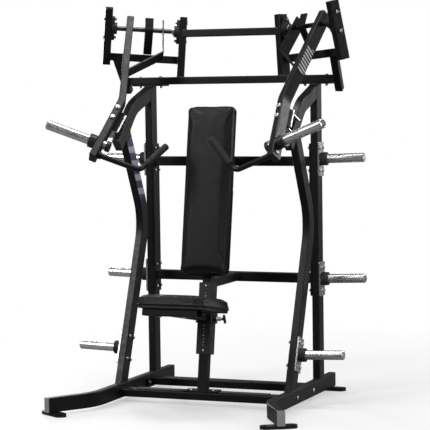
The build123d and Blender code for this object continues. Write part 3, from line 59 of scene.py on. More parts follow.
class Shader:
    """A Principled material with the few node patterns that this object needs."""

    def __init__(self, name, color, roughness, metallic=0.0):
        self.material = bpy.data.materials.new(name)
        self.material.use_nodes = True
        self.tree = self.material.node_tree
        self.bsdf = self.tree.nodes["Principled BSDF"]
        self.color = (*color, 1.0)
        self.bsdf.inputs["Base Color"].default_value = self.color
        self.bsdf.inputs["Roughness"].default_value = roughness
        self.bsdf.inputs["Metallic"].default_value = metallic
        self.coords = self.tree.nodes.new("ShaderNodeTexCoord").outputs["Object"]
        self.normal = None
        self.color_source = None

    def node(self, kind, **settings):
        """A new shader node with these settings."""
        made = self.tree.nodes.new(kind)
        for key, value in settings.items():
            setattr(made, key, value)
        return made

    def link(self, source, target):
        self.tree.links.new(source, target)

    def noise(self, scale, detail=3.0, distortion=0.0):
        """Soft noise in object space."""
        made = self.node("ShaderNodeTexNoise")
        made.inputs["Scale"].default_value = scale
        made.inputs["Detail"].default_value = detail
        made.inputs["Distortion"].default_value = distortion
        self.link(self.coords, made.inputs["Vector"])
        return made.outputs["Fac"]

    def cells(self, scale, feature="DISTANCE_TO_EDGE"):
        """Cells such as grain or spangle, in object space."""
        made = self.node("ShaderNodeTexVoronoi", feature=feature)
        made.inputs["Scale"].default_value = scale
        made.inputs["Randomness"].default_value = 0.9
        self.link(self.coords, made.inputs["Vector"])
        return made.outputs["Distance"]

    def remap(self, source, low, high, from_low=0.0, from_high=1.0):
        """Stretch a value from one range to another."""
        made = self.node("ShaderNodeMapRange")
        made.inputs["From Min"].default_value = from_low
        made.inputs["From Max"].default_value = from_high
        made.inputs["To Min"].default_value = low
        made.inputs["To Max"].default_value = high
        self.link(source, made.inputs["Value"])
        return made.outputs["Result"]

    def math(self, operation, first, second):
        made = self.node("ShaderNodeMath", operation=operation)
        for index, value in enumerate((first, second)):
            if isinstance(value, float):
                made.inputs[index].default_value = value
            else:
                self.link(value, made.inputs[index])
        return made.outputs["Value"]

    def rounded_edges(self, radius):
        """Soft highlight along sharp edges."""
        bevel = self.node("ShaderNodeBevel", samples=BEVEL_SAMPLES)
        bevel.inputs["Radius"].default_value = radius
        self.normal = bevel.outputs["Normal"]
        self.apply_normal()

    def bump(self, height, strength, distance):
        """Fine relief on top of the normal so far."""
        made = self.node("ShaderNodeBump")
        made.inputs["Strength"].default_value = strength
        made.inputs["Distance"].default_value = distance
        self.link(height, made.inputs["Height"])
        if self.normal is not None:
            self.link(self.normal, made.inputs["Normal"])
        self.normal = made.outputs["Normal"]
        self.apply_normal()

    def apply_normal(self):
        self.link(self.normal, self.bsdf.inputs["Normal"])

    def vary_roughness(self, source, low, high):
        spread = self.remap(source, low, high, *ROUGHNESS_NOISE)
        self.link(spread, self.bsdf.inputs["Roughness"])

    def mix_color(self, factor, color):
        """Blend the colour so far towards another one."""
        mix = self.node("ShaderNodeMix", data_type="RGBA")
        self.link(factor, mix.inputs["Factor"])
        if self.color_source is None:
            mix.inputs["A"].default_value = self.color
        else:
            self.link(self.color_source, mix.inputs["A"])
        mix.inputs["B"].default_value = (*color, 1.0)
        self.color_source = mix.outputs["Result"]
        self.link(self.color_source, self.bsdf.inputs["Base Color"])

    def mottle(self, color, amount, scale, detail=3.0, start=0.0, end=1.0):
        """Patches of another colour, up to amount strong, from one noise level to another."""
        patches = self.remap(self.noise(scale, detail), 0.0, amount, start, end)
        self.mix_color(patches, color)

    def edge_wear_and_highlight(self, radius, color, amount):
        """Lighter edges, broken up by noise: rubbed wear plus a painted edge highlight."""
        bevel = self.node("ShaderNodeBevel", samples=BEVEL_SAMPLES)
        bevel.inputs["Radius"].default_value = radius
        geometry = self.node("ShaderNodeNewGeometry")
        dot = self.node("ShaderNodeVectorMath", operation="DOT_PRODUCT")
        self.link(bevel.outputs["Normal"], dot.inputs[0])
        self.link(geometry.outputs["Normal"], dot.inputs[1])
        edge = self.remap(dot.outputs["Value"], amount, 0.0, *WEAR_AND_HIGHLIGHT_COSINE)
        broken = self.remap(self.noise(scale=90.0, detail=5.0), WEAR_AND_HIGHLIGHT_FLOOR, 1.0, *WEAR_AND_HIGHLIGHT_BREAKS)
        self.mix_color(self.math("MULTIPLY", edge, broken), color)

    def principled(self, **values):
        """Set more inputs of the Principled shader, named with underscores."""
        for key, value in values.items():
            self.bsdf.inputs[key.replace("_", " ")].default_value = value
        return self

def powder_coat():
    """Satin black powder coat with orange peel and lighter edges: rubbed wear plus a painted edge highlight."""
    shader = Shader("powder_coat", (0.005, 0.005, 0.0055), roughness=0.4)
    shader.rounded_edges(1.2 * MM)
    # lighter edge colour: rubbed wear plus a painted edge highlight
    shader.edge_wear_and_highlight(1.6 * MM, (0.045, 0.045, 0.05), amount=0.7)
    shader.mottle((0.008, 0.008, 0.0085), 0.5, scale=5.0, start=0.45, end=0.75)
    shader.vary_roughness(shader.noise(scale=38.0, detail=4.0), low=0.33, high=0.48)
    shader.bump(shader.noise(scale=620.0, detail=2.0), strength=0.16, distance=0.25 * MM)
    shader.principled(Specular_IOR_Level=0.28, Coat_Weight=0.04, Coat_Roughness=0.25)
    return shader.material


def chrome(name, roughness):
    """Plated steel with a fine noise relief and handling marks."""
    shader = Shader(name, (0.86, 0.86, 0.87), roughness, metallic=1.0)
    shader.rounded_edges(0.8 * MM)
    marks = shader.noise(scale=60.0, detail=6.0)
    shader.vary_roughness(marks, low=roughness * 0.7, high=roughness * 1.6)
    shader.mottle((0.55, 0.55, 0.57), 0.25, scale=22.0, detail=5.0, start=0.5, end=0.8)
    shader.bump(shader.noise(scale=900.0, detail=4.0), strength=0.05, distance=0.1 * MM)
    return shader.material


def zinc(name, color, roughness):
    """Zinc-plated steel with the plating's fine spangle."""
    shader = Shader(name, color, roughness, metallic=1.0)
    shader.rounded_edges(0.6 * MM)
    spangle = shader.cells(scale=260.0, feature="F1")
    shader.vary_roughness(spangle, low=roughness * 0.75, high=roughness * 1.3)
    shader.mottle((0.36, 0.36, 0.37), 0.35, scale=140.0, detail=4.0, start=0.45, end=0.75)
    shader.bump(shader.noise(scale=1100.0), strength=0.08, distance=0.1 * MM)
    return shader.material


def rubber(name, color, roughness=0.72):
    """Matt moulded rubber, slightly dusty."""
    shader = Shader(name, color, roughness)
    shader.rounded_edges(1.0 * MM)
    dust = shader.noise(scale=45.0, detail=5.0)
    shader.vary_roughness(dust, low=roughness - 0.1, high=roughness + 0.12)
    shader.mottle((0.032, 0.031, 0.03), 0.4, scale=30.0, detail=6.0, start=0.5, end=0.8)
    shader.bump(shader.noise(scale=1300.0), strength=0.28, distance=0.2 * MM)
    return shader.material


def plastic(name, color, roughness):
    """Moulded plastic with a fine spark-eroded texture."""
    shader = Shader(name, color, roughness)
    shader.rounded_edges(0.8 * MM)
    gloss = shader.noise(scale=70.0, detail=4.0)
    shader.vary_roughness(gloss, low=roughness - 0.06, high=roughness + 0.08)
    lighter = tuple(min(1.0, channel * 1.5 + 0.004) for channel in color)
    shader.mottle(lighter, 0.5, scale=18.0, detail=4.0, start=0.5, end=0.8)
    shader.bump(shader.cells(scale=1500.0, feature="F1"), strength=0.12, distance=0.12 * MM)
    return shader.material


def vinyl():
    """Upholstery vinyl: pebbled grain with fine creases, darkened with painted shade."""
    shader = Shader("upholstery_vinyl", (0.005, 0.005, 0.0056), roughness=0.48)
    grain = shader.cells(scale=560.0)
    creases = shader.remap(grain, 0.0, 1.0, 0.0, 0.09)
    # painted shade: the grain's creases are darkened
    shader.mix_color(shader.remap(grain, 0.35, 0.0, 0.0, 0.05), (0.004, 0.004, 0.0045))
    shader.mottle((0.009, 0.009, 0.0096), 0.45, scale=9.0, detail=4.0, start=0.45, end=0.75)
    shader.vary_roughness(shader.noise(scale=30.0, detail=4.0), low=0.42, high=0.58)
    shader.bump(creases, strength=0.45, distance=0.22 * MM)
    shader.bump(shader.noise(scale=34.0), strength=0.12, distance=1.6 * MM)
    shader.principled(Specular_IOR_Level=0.3, Sheen_Weight=0.02)
    return shader.material


def thread():
    """Spun sewing thread."""
    shader = Shader("stitch_thread", (0.02, 0.02, 0.021), roughness=0.6)
    shader.bump(shader.noise(scale=2600.0, detail=2.0), strength=0.5, distance=0.15 * MM)
    shader.mottle((0.045, 0.045, 0.046), 0.4, scale=400.0)
    return shader.material


def painted_board():
    """Black stained plywood with the grain showing faintly."""
    shader = Shader("painted_plywood", (0.012, 0.011, 0.0105), roughness=0.62)
    stretch = shader.node("ShaderNodeMapping")
    stretch.inputs["Scale"].default_value = (1.0, 0.06, 0.06)
    shader.link(shader.coords, stretch.inputs["Vector"])
    shader.coords = stretch.outputs["Vector"]
    grain = shader.noise(scale=420.0, detail=5.0, distortion=0.6)
    shader.mix_color(shader.remap(grain, 0.0, 0.5, 0.4, 0.7), (0.026, 0.022, 0.018))
    shader.bump(grain, strength=0.3, distance=0.2 * MM)
    return shader.material


def weld_metal():
    """Weld bead under the same powder coat."""
    shader = Shader("coated_weld", (0.009, 0.009, 0.0095), roughness=0.36)
    shader.vary_roughness(shader.noise(scale=300.0), low=0.3, high=0.5)
    shader.mottle((0.016, 0.016, 0.017), 0.4, scale=120.0)
    shader.bump(shader.noise(scale=900.0), strength=0.2, distance=0.2 * MM)
    return shader.material


def printed_label(name, base, ink, stripe_scale, direction, from_level):
    """Plain film label with generic bars in place of any lettering."""
    shader = Shader(name, base, roughness=0.34)
    wave = shader.node("ShaderNodeTexWave", bands_direction=direction, wave_profile="SIN")
    wave.inputs["Scale"].default_value = stripe_scale
    shader.link(shader.coords, wave.inputs["Vector"])
    bars = shader.remap(wave.outputs["Fac"], 0.0, 1.0, from_level, from_level + 0.05)
    shader.mix_color(bars, ink)
    shader.vary_roughness(shader.noise(scale=55.0, detail=4.0), low=0.26, high=0.42)
    shader.bump(shader.noise(scale=700.0), strength=0.06, distance=0.08 * MM)
    shader.principled(Coat_Weight=0.4, Coat_Roughness=0.15)
    return shader.material


MATERIALS = {
    "black_steel": powder_coat(),
    "chrome": chrome("chrome_plate", 0.26),
    "bright_steel": zinc("zinc_plate", (0.56, 0.56, 0.57), 0.34),
    "zinc_fasteners": zinc("zinc_fasteners", (0.66, 0.66, 0.68), 0.27),
    "bearing_iron": plastic("painted_casting", (0.014, 0.014, 0.015), 0.45),
    "bearing_steel": chrome("ground_steel", 0.24),
    "shaft_steel": zinc("blackened_shaft", (0.1, 0.1, 0.105), 0.3),
    "rubber": rubber("moulded_rubber", (0.014, 0.014, 0.014)),
    "black_plastic": plastic("black_nylon", (0.012, 0.012, 0.0125), 0.42),
    "grey_plastic": plastic("grey_plastic", (0.34, 0.35, 0.36), 0.45),
    "upholstery": vinyl(),
    "plywood": painted_board(),
}
WELD = weld_metal()
THREAD = thread()
BADGE = printed_label(
    "arm_badge_film", base=(0.012, 0.012, 0.013), ink=(0.72, 0.72, 0.73),
    stripe_scale=21.0, direction="DIAGONAL", from_level=0.5,
)
LEG_LABEL = printed_label(
    "leg_label_film", base=(0.045, 0.042, 0.12), ink=(0.42, 0.43, 0.5),
    stripe_scale=4.2, direction="Z", from_level=0.55,
)
MARKS = plastic("printed_marks", (0.62, 0.62, 0.6), 0.5)

slot_of = {part["node"]: part["material_slot"] for part in frame["record"]["subparts"]}
for node_name, cad_object in nodes.items():
    cad_object.data.materials.clear()
    cad_object.data.materials.append(MATERIALS[slot_of[node_name]])


# ---- Mesh helpers ---------------------------------------------------------
NEARLY_UPRIGHT = 0.9        # z share of a direction that is taken as upright


def new_object(name, mesh, material, body):
    """Put a mesh into the scene on a body."""
    made = bpy.data.objects.new(name, mesh)
    bpy.context.scene.collection.objects.link(made)
    mesh.materials.clear()
    mesh.materials.append(material)
    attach(made, body)
    return made


def smooth(mesh):
    """Smooth shading on every face."""
    mesh.polygons.foreach_set("use_smooth", [True] * len(mesh.polygons))


def tube_ring(bm, centre, across, lift, radius, sides):
    """One ring of vertices round a path point."""
    ring = []
    for index in range(sides):
        angle = 2 * math.pi * index / sides
        offset = across * math.cos(angle) + lift * math.sin(angle)
        ring.append(bm.verts.new(centre + offset * radius))
    return ring


def sweep_tube(bm, points, radius_at, sides=8, closed=False):
    """Tube along points; radius_at(index) gives each ring's radius."""
    count = len(points)
    rings = []
    lift = None
    for index, point in enumerate(points):
        ahead = points[(index + 1) % count] if closed or index + 1 < count else point
        behind = points[index - 1] if closed or index else point
        along = (ahead - behind).normalized()
        if lift is None:
            guess = Z_AXIS if abs(along.z) < NEARLY_UPRIGHT else X_AXIS
            lift = (guess - along * guess.dot(along)).normalized()
        else:
            lift = (lift - along * lift.dot(along)).normalized()
        rings.append(tube_ring(bm, point, along.cross(lift), lift, radius_at(index), sides))
    last = count if closed else count - 1
    for index in range(last):
        first, second = rings[index], rings[(index + 1) % count]
        shift = 0
        if closed and index == count - 1:
            gaps = [(first[0].co - vert.co).length for vert in second]
            shift = gaps.index(min(gaps))
        for side in range(sides):
            nxt = (side + 1) % sides
            near, far = second[(side + shift) % sides], second[(nxt + shift) % sides]
            bm.faces.new((first[side], first[nxt], far, near))
    if not closed:
        bm.faces.new(rings[0][::-1])
        bm.faces.new(rings[-1])


def finish_mesh(bm, name):
    """Turn a bmesh into a smooth mesh with its normals outward."""
    bmesh.ops.recalc_face_normals(bm, faces=bm.faces)
    mesh = bpy.data.meshes.new(name)
    bm.to_mesh(mesh)
    bm.free()
    smooth(mesh)
    return mesh


def resample(points, pitch, closed):
    """Points at an even pitch along a polyline."""
    path = list(points) + ([points[0]] if closed else [])
    lengths = [(b - a).length for a, b in zip(path, path[1:])]
    total = sum(lengths)
    steps = max(4, round(total / pitch))
    made = []
    segment = 0
    passed = 0.0
    for index in range(steps if closed else steps + 1):
        target = total * index / steps
        while segment < len(lengths) - 1 and passed + lengths[segment] < target:
            passed += lengths[segment]
            segment += 1
        share = min(1.0, (target - passed) / max(lengths[segment], 1e-9))
        made.append(path[segment].lerp(path[segment + 1], share))
    return made

# ---- Weld beads -----------------------------------------------------------
CONTACT = 0.12 * MM
CORNER_CONTACT = 5.5 * MM       # a tube end that overhangs the other tube's rounded corner
BEAD_RADIUS = 2.6 * MM
BEAD_PITCH = 1.5 * MM
BEAD_SIDES = 7
RIPPLE = (0.14, 2.1)            # share of the radius, and radians per ring
SLOW_RIPPLE = (0.06, 0.37)
MERGE = 0.01 * MM
INNER_LOOP_STEP = 5 * MM        # a hollow tube's inner outline is at least this much shorter
SAME_CENTRE = 25 * MM
SHORTEST_LOOP = 70 * MM


def surface_tree(node):
    """Search tree over a node's surface."""
    bm = bmesh.new()
    bm.from_mesh(nodes[node].data)
    tree = BVHTree.FromBMesh(bm)
    bm.free()
    return tree


def contact_loops(node, other, reach):
    """Outlines of the faces of node that lie on the other node."""
    tree = surface_tree(other)
    bm = bmesh.new()
    bm.from_mesh(nodes[node].data)
    bmesh.ops.remove_doubles(bm, verts=bm.verts, dist=MERGE)

    def touches(point):
        return tree.find_nearest(point, reach)[0] is not None

    on_other = {
        face for face in bm.faces
        if touches(face.calc_center_median()) and all(touches(vert.co) for vert in face.verts)
    }
    edges = {
        edge for face in on_other for edge in face.edges
        if len([one for one in edge.link_faces if one in on_other]) == 1
    }
    loops = []
    while edges:
        edge = edges.pop()
        chain = [edge.verts[0], edge.verts[1]]
        growing = True
        while growing:
            growing = False
            for link in chain[-1].link_edges:
                if link in edges:
                    edges.discard(link)
                    chain.append(link.other_vert(chain[-1]))
                    growing = True
                    break
        closed = chain[0] is chain[-1]
        loops.append(([vert.co.copy() for vert in (chain[:-1] if closed else chain)], closed))
    bm.free()
    return loops


def loop_size(points):
    """Length of a closed loop."""
    return sum((b - a).length for a, b in zip(points, points[1:] + points[:1]))


def outer_loops(loops):
    """Drop short loops and the inner outlines of hollow tubes."""
    kept = []
    for points, closed in loops:
        size = loop_size(points)
        centre = sum(points, Vector()) / len(points)
        inside = any(
            loop_size(other) > size + INNER_LOOP_STEP
            and (sum(other, Vector()) / len(other) - centre).length < SAME_CENTRE
            for other, _ in loops
        )
        if closed and not inside and size > SHORTEST_LOOP:
            kept.append(points)
    return kept


def bead_radius(index):
    """Radius of a bead's ring, with the ripple of the weld."""
    waves = sum(share * math.sin(index * turn) for share, turn in (RIPPLE, SLOW_RIPPLE))
    return BEAD_RADIUS * (1.0 + waves)


def weld(node, other, body):
    """Rippled beads round every place where node is welded to the other node."""
    bm = bmesh.new()
    loops = outer_loops(contact_loops(node, other, CONTACT))
    for points in loops or outer_loops(contact_loops(node, other, CORNER_CONTACT)):
        sweep_tube(bm, resample(points, BEAD_PITCH, True), bead_radius, BEAD_SIDES, True)
    if not bm.faces:
        bm.free()
        print("no weld loop between", node, other)
        return
    mesh = finish_mesh(bm, f"weld_{node}_{other}")
    new_object(f"weld_{node}_{other}", mesh, WELD, body)


WELDS = (
    ("upright_right", "side_rails"),
    ("upright_left", "side_rails"),
    ("front_legs", "side_rails"),
    ("front_legs", "arches"),
    ("arches", "upright_right"),
    ("arches", "upright_left"),
    ("rear_crossbars", "side_plates"),
    ("inner_posts", "top_crossbar"),
    ("shoulder_tubes", "inner_posts"),
    ("shoulder_tubes", "outer_posts"),
    ("link_tube", "inner_posts"),
    ("storage_pegs", "peg_brackets"),
    ("seat_post", "rear_crossbars"),
)
for welded, base in WELDS:
    weld(welded, base, "frame")

# ---- Upholstery -----------------------------------------------------------
VOXEL = 6.0 * MM
SIM_FRAMES = 20
CLOTH = {
    "quality": 6,
    "mass": 0.3,
    "tension_stiffness": 18.0,
    "compression_stiffness": 14.0,
    "shear_stiffness": 8.0,
    "bending_stiffness": 0.6,
    "use_pressure": True,
    "uniform_pressure_force": 4.0,
}
PUFF_CAP = 9.0 * MM             # furthest that the cloth may move a point
PINNED_DEPTH = 4.0 * MM         # this much of the cushion's back stays on the board
BOARD_GAP = 0.3 * MM
SHRINK = 5.0 * MM
CROWN = 5.0 * MM
THICKNESS_SHARE = 0.90          # of the pad's own thickness, before the crown and the puff
SAME_WAY = 0.999                # cosine of two normals that count as one direction
CORNERS = {"back_pad": 32 * MM, "seat_pad": 65 * MM}
OUTLINE_STEP = 6                # degrees
SEAM_PITCH = 4.0 * MM
SEAM_REACH = 60 * MM            # the search for the surface starts this far outside
SEAM_SEARCH = 200 * MM
SEAMS = ((0.66, 5.0 * MM), (0.12, 4.5 * MM))    # height share, stitches above the welt
WELT_RADIUS = 1.9 * MM
WELT_PITCH = 3.0 * MM
WELT_SIDES = 8
WELT_LIFT = 0.2 * MM
STITCH_LENGTH = 3.6 * MM
STITCH_GAP = 2.0 * MM
STITCH_RADIUS = 0.55 * MM
STITCH_SIDES = 6
STITCH_LIFT = 0.1 * MM
STITCH_SHAPE = (0.35, 0.85, 1.0, 0.85, 0.35)    # share of the radius at each ring


def pad_frame(node):
    """Local frame of a pad: x across, y along, z out of its flat back."""
    areas = {}
    for polygon in nodes[node].data.polygons:
        key = tuple(round(value, 2) for value in polygon.normal)
        areas[key] = areas.get(key, 0.0) + polygon.area
    back = Vector(max(areas, key=areas.get)).normalized()
    flat = [p for p in nodes[node].data.polygons if p.normal.dot(back) > SAME_WAY]
    opposite = [p for p in nodes[node].data.polygons if p.normal.dot(back) < -SAME_WAY]
    if sum(p.area for p in flat) < sum(p.area for p in opposite):
        back = -back
        flat = opposite
    centre = sum((p.center * p.area for p in flat), Vector()) / sum(p.area for p in flat)
    out = -back
    along = out.cross(X_AXIS).normalized()
    basis = Matrix((X_AXIS, along, out)).transposed().to_4x4()
    return Matrix.Translation(centre) @ basis


def puff(piece):
    """Inflate a pad with cloth pressure while its back stays on the board."""
    scene = bpy.context.scene
    pins = piece.vertex_groups.new(name="back")
    on_back = [vert.index for vert in piece.data.vertices if vert.co.z < PINNED_DEPTH]
    pins.add(on_back, 1.0, "REPLACE")
    start = [vert.co.copy() for vert in piece.data.vertices]
    cloth = piece.modifiers.new("Cloth", "CLOTH")
    settings = cloth.settings
    for key, value in CLOTH.items():
        setattr(settings, key, value)
    settings.effector_weights.gravity = 0.0
    settings.vertex_group_mass = pins.name
    for number in range(1, SIM_FRAMES + 1):
        scene.frame_set(number)
    depsgraph = bpy.context.evaluated_depsgraph_get()
    moved = piece.evaluated_get(depsgraph).to_mesh()
    ends = [vert.co.copy() for vert in moved.vertices]
    piece.evaluated_get(depsgraph).to_mesh_clear()
    piece.modifiers.remove(cloth)
    scene.frame_set(1)
    for vert, first, last in zip(piece.data.vertices, start, ends):
        step = last - first
        if step.length > PUFF_CAP:
            step = step.normalized() * PUFF_CAP
        vert.co = first + step
        vert.co.z = max(vert.co.z, BOARD_GAP)


def apply_modifier(piece):
    """Replace a piece's mesh with the outcome of its modifiers."""
    depsgraph = bpy.context.evaluated_depsgraph_get()
    mesh = bpy.data.meshes.new_from_object(piece.evaluated_get(depsgraph))
    piece.modifiers.clear()
    old = piece.data
    piece.data = mesh
    bpy.data.meshes.remove(old)


def outline_points(half_x, half_y, corner, step):
    """Points of a rounded rectangle, with one every step degrees round its corners."""
    made = []
    centres = ((1, 1, 0), (-1, 1, 90), (-1, -1, 180), (1, -1, 270))
    for sign_x, sign_y, first in centres:
        centre = Vector((sign_x * (half_x - corner), sign_y * (half_y - corner), 0))
        for turn in range(0, 91, step):
            angle = math.radians(first + turn)
            made.append(centre + Vector((math.cos(angle), math.sin(angle), 0)) * corner)
    return made


def seam_path(tree, half_x, half_y, corner, level, offset):
    """The cushion's own surface at one height, followed all round."""
    outline = outline_points(half_x, half_y, corner, OUTLINE_STEP)
    ring = resample(outline, SEAM_PITCH, True)
    middle = Vector((0, 0, level))
    path = []
    for index, point in enumerate(ring):
        ahead = ring[(index + 1) % len(ring)]
        behind = ring[index - 1]
        tangent = (ahead - behind).normalized()
        inward = Vector((-tangent.y, tangent.x, 0))
        if inward.dot(point) > 0:
            inward = -inward
        origin = point + middle - inward * SEAM_REACH
        hit = tree.ray_cast(origin, inward, SEAM_SEARCH)
        if hit[0] is not None:
            path.append(hit[0] + hit[1] * offset)
    return path


def stitches(bm, path):
    """Short raised stitches along a path."""
    points = resample(path, STITCH_LENGTH + STITCH_GAP, True)
    share = STITCH_LENGTH / (STITCH_LENGTH + STITCH_GAP)
    for index, point in enumerate(points):
        end = point.lerp(points[(index + 1) % len(points)], share)
        middle = point.lerp(end, 0.5)
        chain = [point, point.lerp(middle, 0.5), middle, middle.lerp(end, 0.5), end]
        sweep_tube(bm, chain, lambda ring: STITCH_RADIUS * STITCH_SHAPE[ring], STITCH_SIDES)


def upholster(node, body):
    """Crowned, cloth-puffed cushion with welts and stitching, in a pad's place."""
    place = pad_frame(node)
    corner = CORNERS[node]
    local = nodes[node].data.copy()
    local.transform(place.inverted())
    half_x = max(abs(vert.co.x) for vert in local.vertices)
    half_y = max(abs(vert.co.y) for vert in local.vertices)
    thick = max(vert.co.z for vert in local.vertices)
    for vert in local.vertices:
        vert.co.x *= (half_x - SHRINK) / half_x
        vert.co.y *= (half_y - SHRINK) / half_y
        vert.co.z *= THICKNESS_SHARE
    piece = bpy.data.objects.new(f"{node}_cushion", local)
    bpy.context.scene.collection.objects.link(piece)
    remesh = piece.modifiers.new("Remesh", "REMESH")
    remesh.mode = "VOXEL"
    remesh.voxel_size = VOXEL
    apply_modifier(piece)
    for vert in piece.data.vertices:
        height = max(0.0, vert.co.z) / thick
        bulge_x = max(0.0, 1 - (vert.co.x / half_x) ** 2)
        bulge_y = max(0.0, 1 - (vert.co.y / half_y) ** 2)
        vert.co.z += CROWN * height * math.sqrt(bulge_x * bulge_y)
    puff(piece)
    subdivide = piece.modifiers.new("Subdivision", "SUBSURF")
    subdivide.levels = 1
    apply_modifier(piece)
    smooth(piece.data)
    top = max(vert.co.z for vert in piece.data.vertices)

    tree = BVHTree.FromPolygons(
        [vert.co for vert in piece.data.vertices], [p.vertices for p in piece.data.polygons]
    )
    welts = bmesh.new()
    threads = bmesh.new()
    for height_share, stitch_step in SEAMS:
        level = top * height_share
        path = seam_path(tree, half_x, half_y, corner, level, WELT_LIFT)
        path = resample(path, WELT_PITCH, True)
        sweep_tube(welts, path, lambda ring: WELT_RADIUS, WELT_SIDES, True)
        row = seam_path(tree, half_x, half_y, corner, level + stitch_step, STITCH_LIFT)
        stitches(threads, row)
    welt_mesh = finish_mesh(welts, f"{node}_welts")
    thread_mesh = finish_mesh(threads, f"{node}_stitches")
    piece.data.transform(place)
    welt_mesh.transform(place)
    thread_mesh.transform(place)
    piece.data.materials.clear()
    piece.data.materials.append(MATERIALS["upholstery"])
    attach(piece, body)
    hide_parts(node)
    new_object(f"{node}_welts", welt_mesh, MATERIALS["upholstery"], body)
    new_object(f"{node}_stitches", thread_mesh, THREAD, body)


upholster("back_pad", "frame")
upholster("seat_pad", "seat_carriage")

# ---- Flat plates laid on a face -------------------------------------------
FILM_CORNER_STEP = 15       # degrees
FILM_EDGE_SHARE = 0.6       # share of the thickness below the eased edge


def film(name, top, along, across, length, width, normal, thickness, radius, material, body):
    """Thin rounded plate with eased edges; top is the middle of its first end."""
    bm = bmesh.new()
    centre = top + along * length / 2
    ease = thickness * 0.5
    rings = []
    for inset, height in ((0.0, 0.0), (0.0, thickness * FILM_EDGE_SHARE), (ease, thickness)):
        outline = outline_points(
            length / 2 - inset, width / 2 - inset, radius - inset, FILM_CORNER_STEP
        )
        rings.append([
            bm.verts.new(centre + along * point.x + across * point.y + normal * height)
            for point in outline
        ])
    for lower, upper in zip(rings, rings[1:]):
        for index in range(len(lower)):
            nxt = (index + 1) % len(lower)
            bm.faces.new((lower[index], lower[nxt], upper[nxt], upper[index]))
    bm.faces.new(rings[-1])
    bm.faces.new(rings[0][::-1])
    mesh = finish_mesh(bm, name)
    mesh.polygons.foreach_set("use_smooth", [False] * len(mesh.polygons))
    return new_object(name, mesh, material, body)


# ---- Arm badges -----------------------------------------------------------
ARM_HALF = 19.0 * MM            # half the arm tube's width along its shaft
ARM_LEAN = math.radians(3.5)
ARM_OUT = 86.0 * MM             # from the pivot to the tube's middle, along the shaft
BADGE_DROP = (168.0 * MM, 321.0 * MM)
BADGE_WIDTH = 52.0 * MM
BADGE_THICKNESS = 1.2 * MM
BADGE_CORNER = 4.0 * MM


def arm_axes(side):
    """The arm's pivot, shaft direction, rearward direction and upward direction."""
    swing = joints[f"arm_{side}_swing"]
    sign = -1.0 if side == "right" else 1.0
    shaft = Vector(swing["axis"]) * sign
    outward = -Vector(joints[f"handle_{side}_turn"]["axis"])
    rear = shaft.cross(outward).normalized()
    if rear.y < 0:
        rear = -rear
    up = rear.cross(shaft).normalized()
    if up.z < 0:
        up = -up
    return Vector(swing["pos_m"]), shaft, rear, up


for side, _ in SIDES:
    pivot, shaft, rear, up = arm_axes(side)
    down = -up * math.cos(ARM_LEAN) + shaft * math.sin(ARM_LEAN)
    outward = shaft * math.cos(ARM_LEAN) + up * math.sin(ARM_LEAN)
    middle = pivot + shaft * ARM_OUT + outward * ARM_HALF
    film(
        f"badge_{side}", middle + down * BADGE_DROP[0], down, rear,
        BADGE_DROP[1] - BADGE_DROP[0], BADGE_WIDTH, outward, BADGE_THICKNESS, BADGE_CORNER,
        BADGE, f"arm_{side}",
    )


# ---- Dark plugs in the horns' ends ----------------------------------------
PLUG_RINGS = ((19.5, 0.0), (19.5, 0.9), (18.6, 1.4), (8.0, 1.0), (6.5, 0.4))    # radius, height
PLUG_SIDES = 40
RIM_DEPTH = 0.01 * MM
for side, _ in SIDES:
    outward = -Vector(joints[f"handle_{side}_turn"]["axis"]).normalized()
    horn_points = [vert.co for vert in nodes[f"horn_{side}"].data.vertices]
    reach = max(point.dot(outward) for point in horn_points)
    rim = [point for point in horn_points if point.dot(outward) > reach - RIM_DEPTH]
    tip = Vector([(max(axis) + min(axis)) / 2 for axis in zip(*rim)])
    lift = outward.orthogonal().normalized()
    plug = bmesh.new()
    across = outward.cross(lift)
    rings = [
        tube_ring(plug, tip + outward * height * MM, across, lift, radius * MM, PLUG_SIDES)
        for radius, height in PLUG_RINGS
    ]
    for first, second in zip(rings, rings[1:]):
        for step in range(PLUG_SIDES):
            nxt = (step + 1) % PLUG_SIDES
            plug.faces.new((first[step], first[nxt], second[nxt], second[step]))
    plug.faces.new(rings[0][::-1])
    plug.faces.new(rings[-1])
    plug_mesh = finish_mesh(plug, f"horn_plug_{side}")
    new_object(
        f"horn_plug_{side}", plug_mesh, MATERIALS["black_plastic"], f"arm_{side}",
    )


# ---- Leg labels -----------------------------------------------------------
LEG_LEAN = math.radians(26.57)
LABEL_LENGTH = 350.0 * MM
LABEL_WIDTH = 64.0 * MM
LABEL_THICKNESS = 0.6 * MM
LABEL_CORNER = 5.0 * MM
LABEL_TOP = (0.452, -0.506, 1.362)      # middle of the label's upper end, on the right
for side, sign in SIDES:
    down = Vector((0, math.sin(LEG_LEAN), -math.cos(LEG_LEAN)))
    across = Vector((0, math.cos(LEG_LEAN), math.sin(LEG_LEAN)))
    top = Vector((LABEL_TOP[0] * sign, *LABEL_TOP[1:]))
    film(
        f"leg_label_{side}", top, down, across, LABEL_LENGTH, LABEL_WIDTH,
        Vector((-sign, 0, 0)), LABEL_THICKNESS, LABEL_CORNER, LEG_LABEL, "frame",
    )


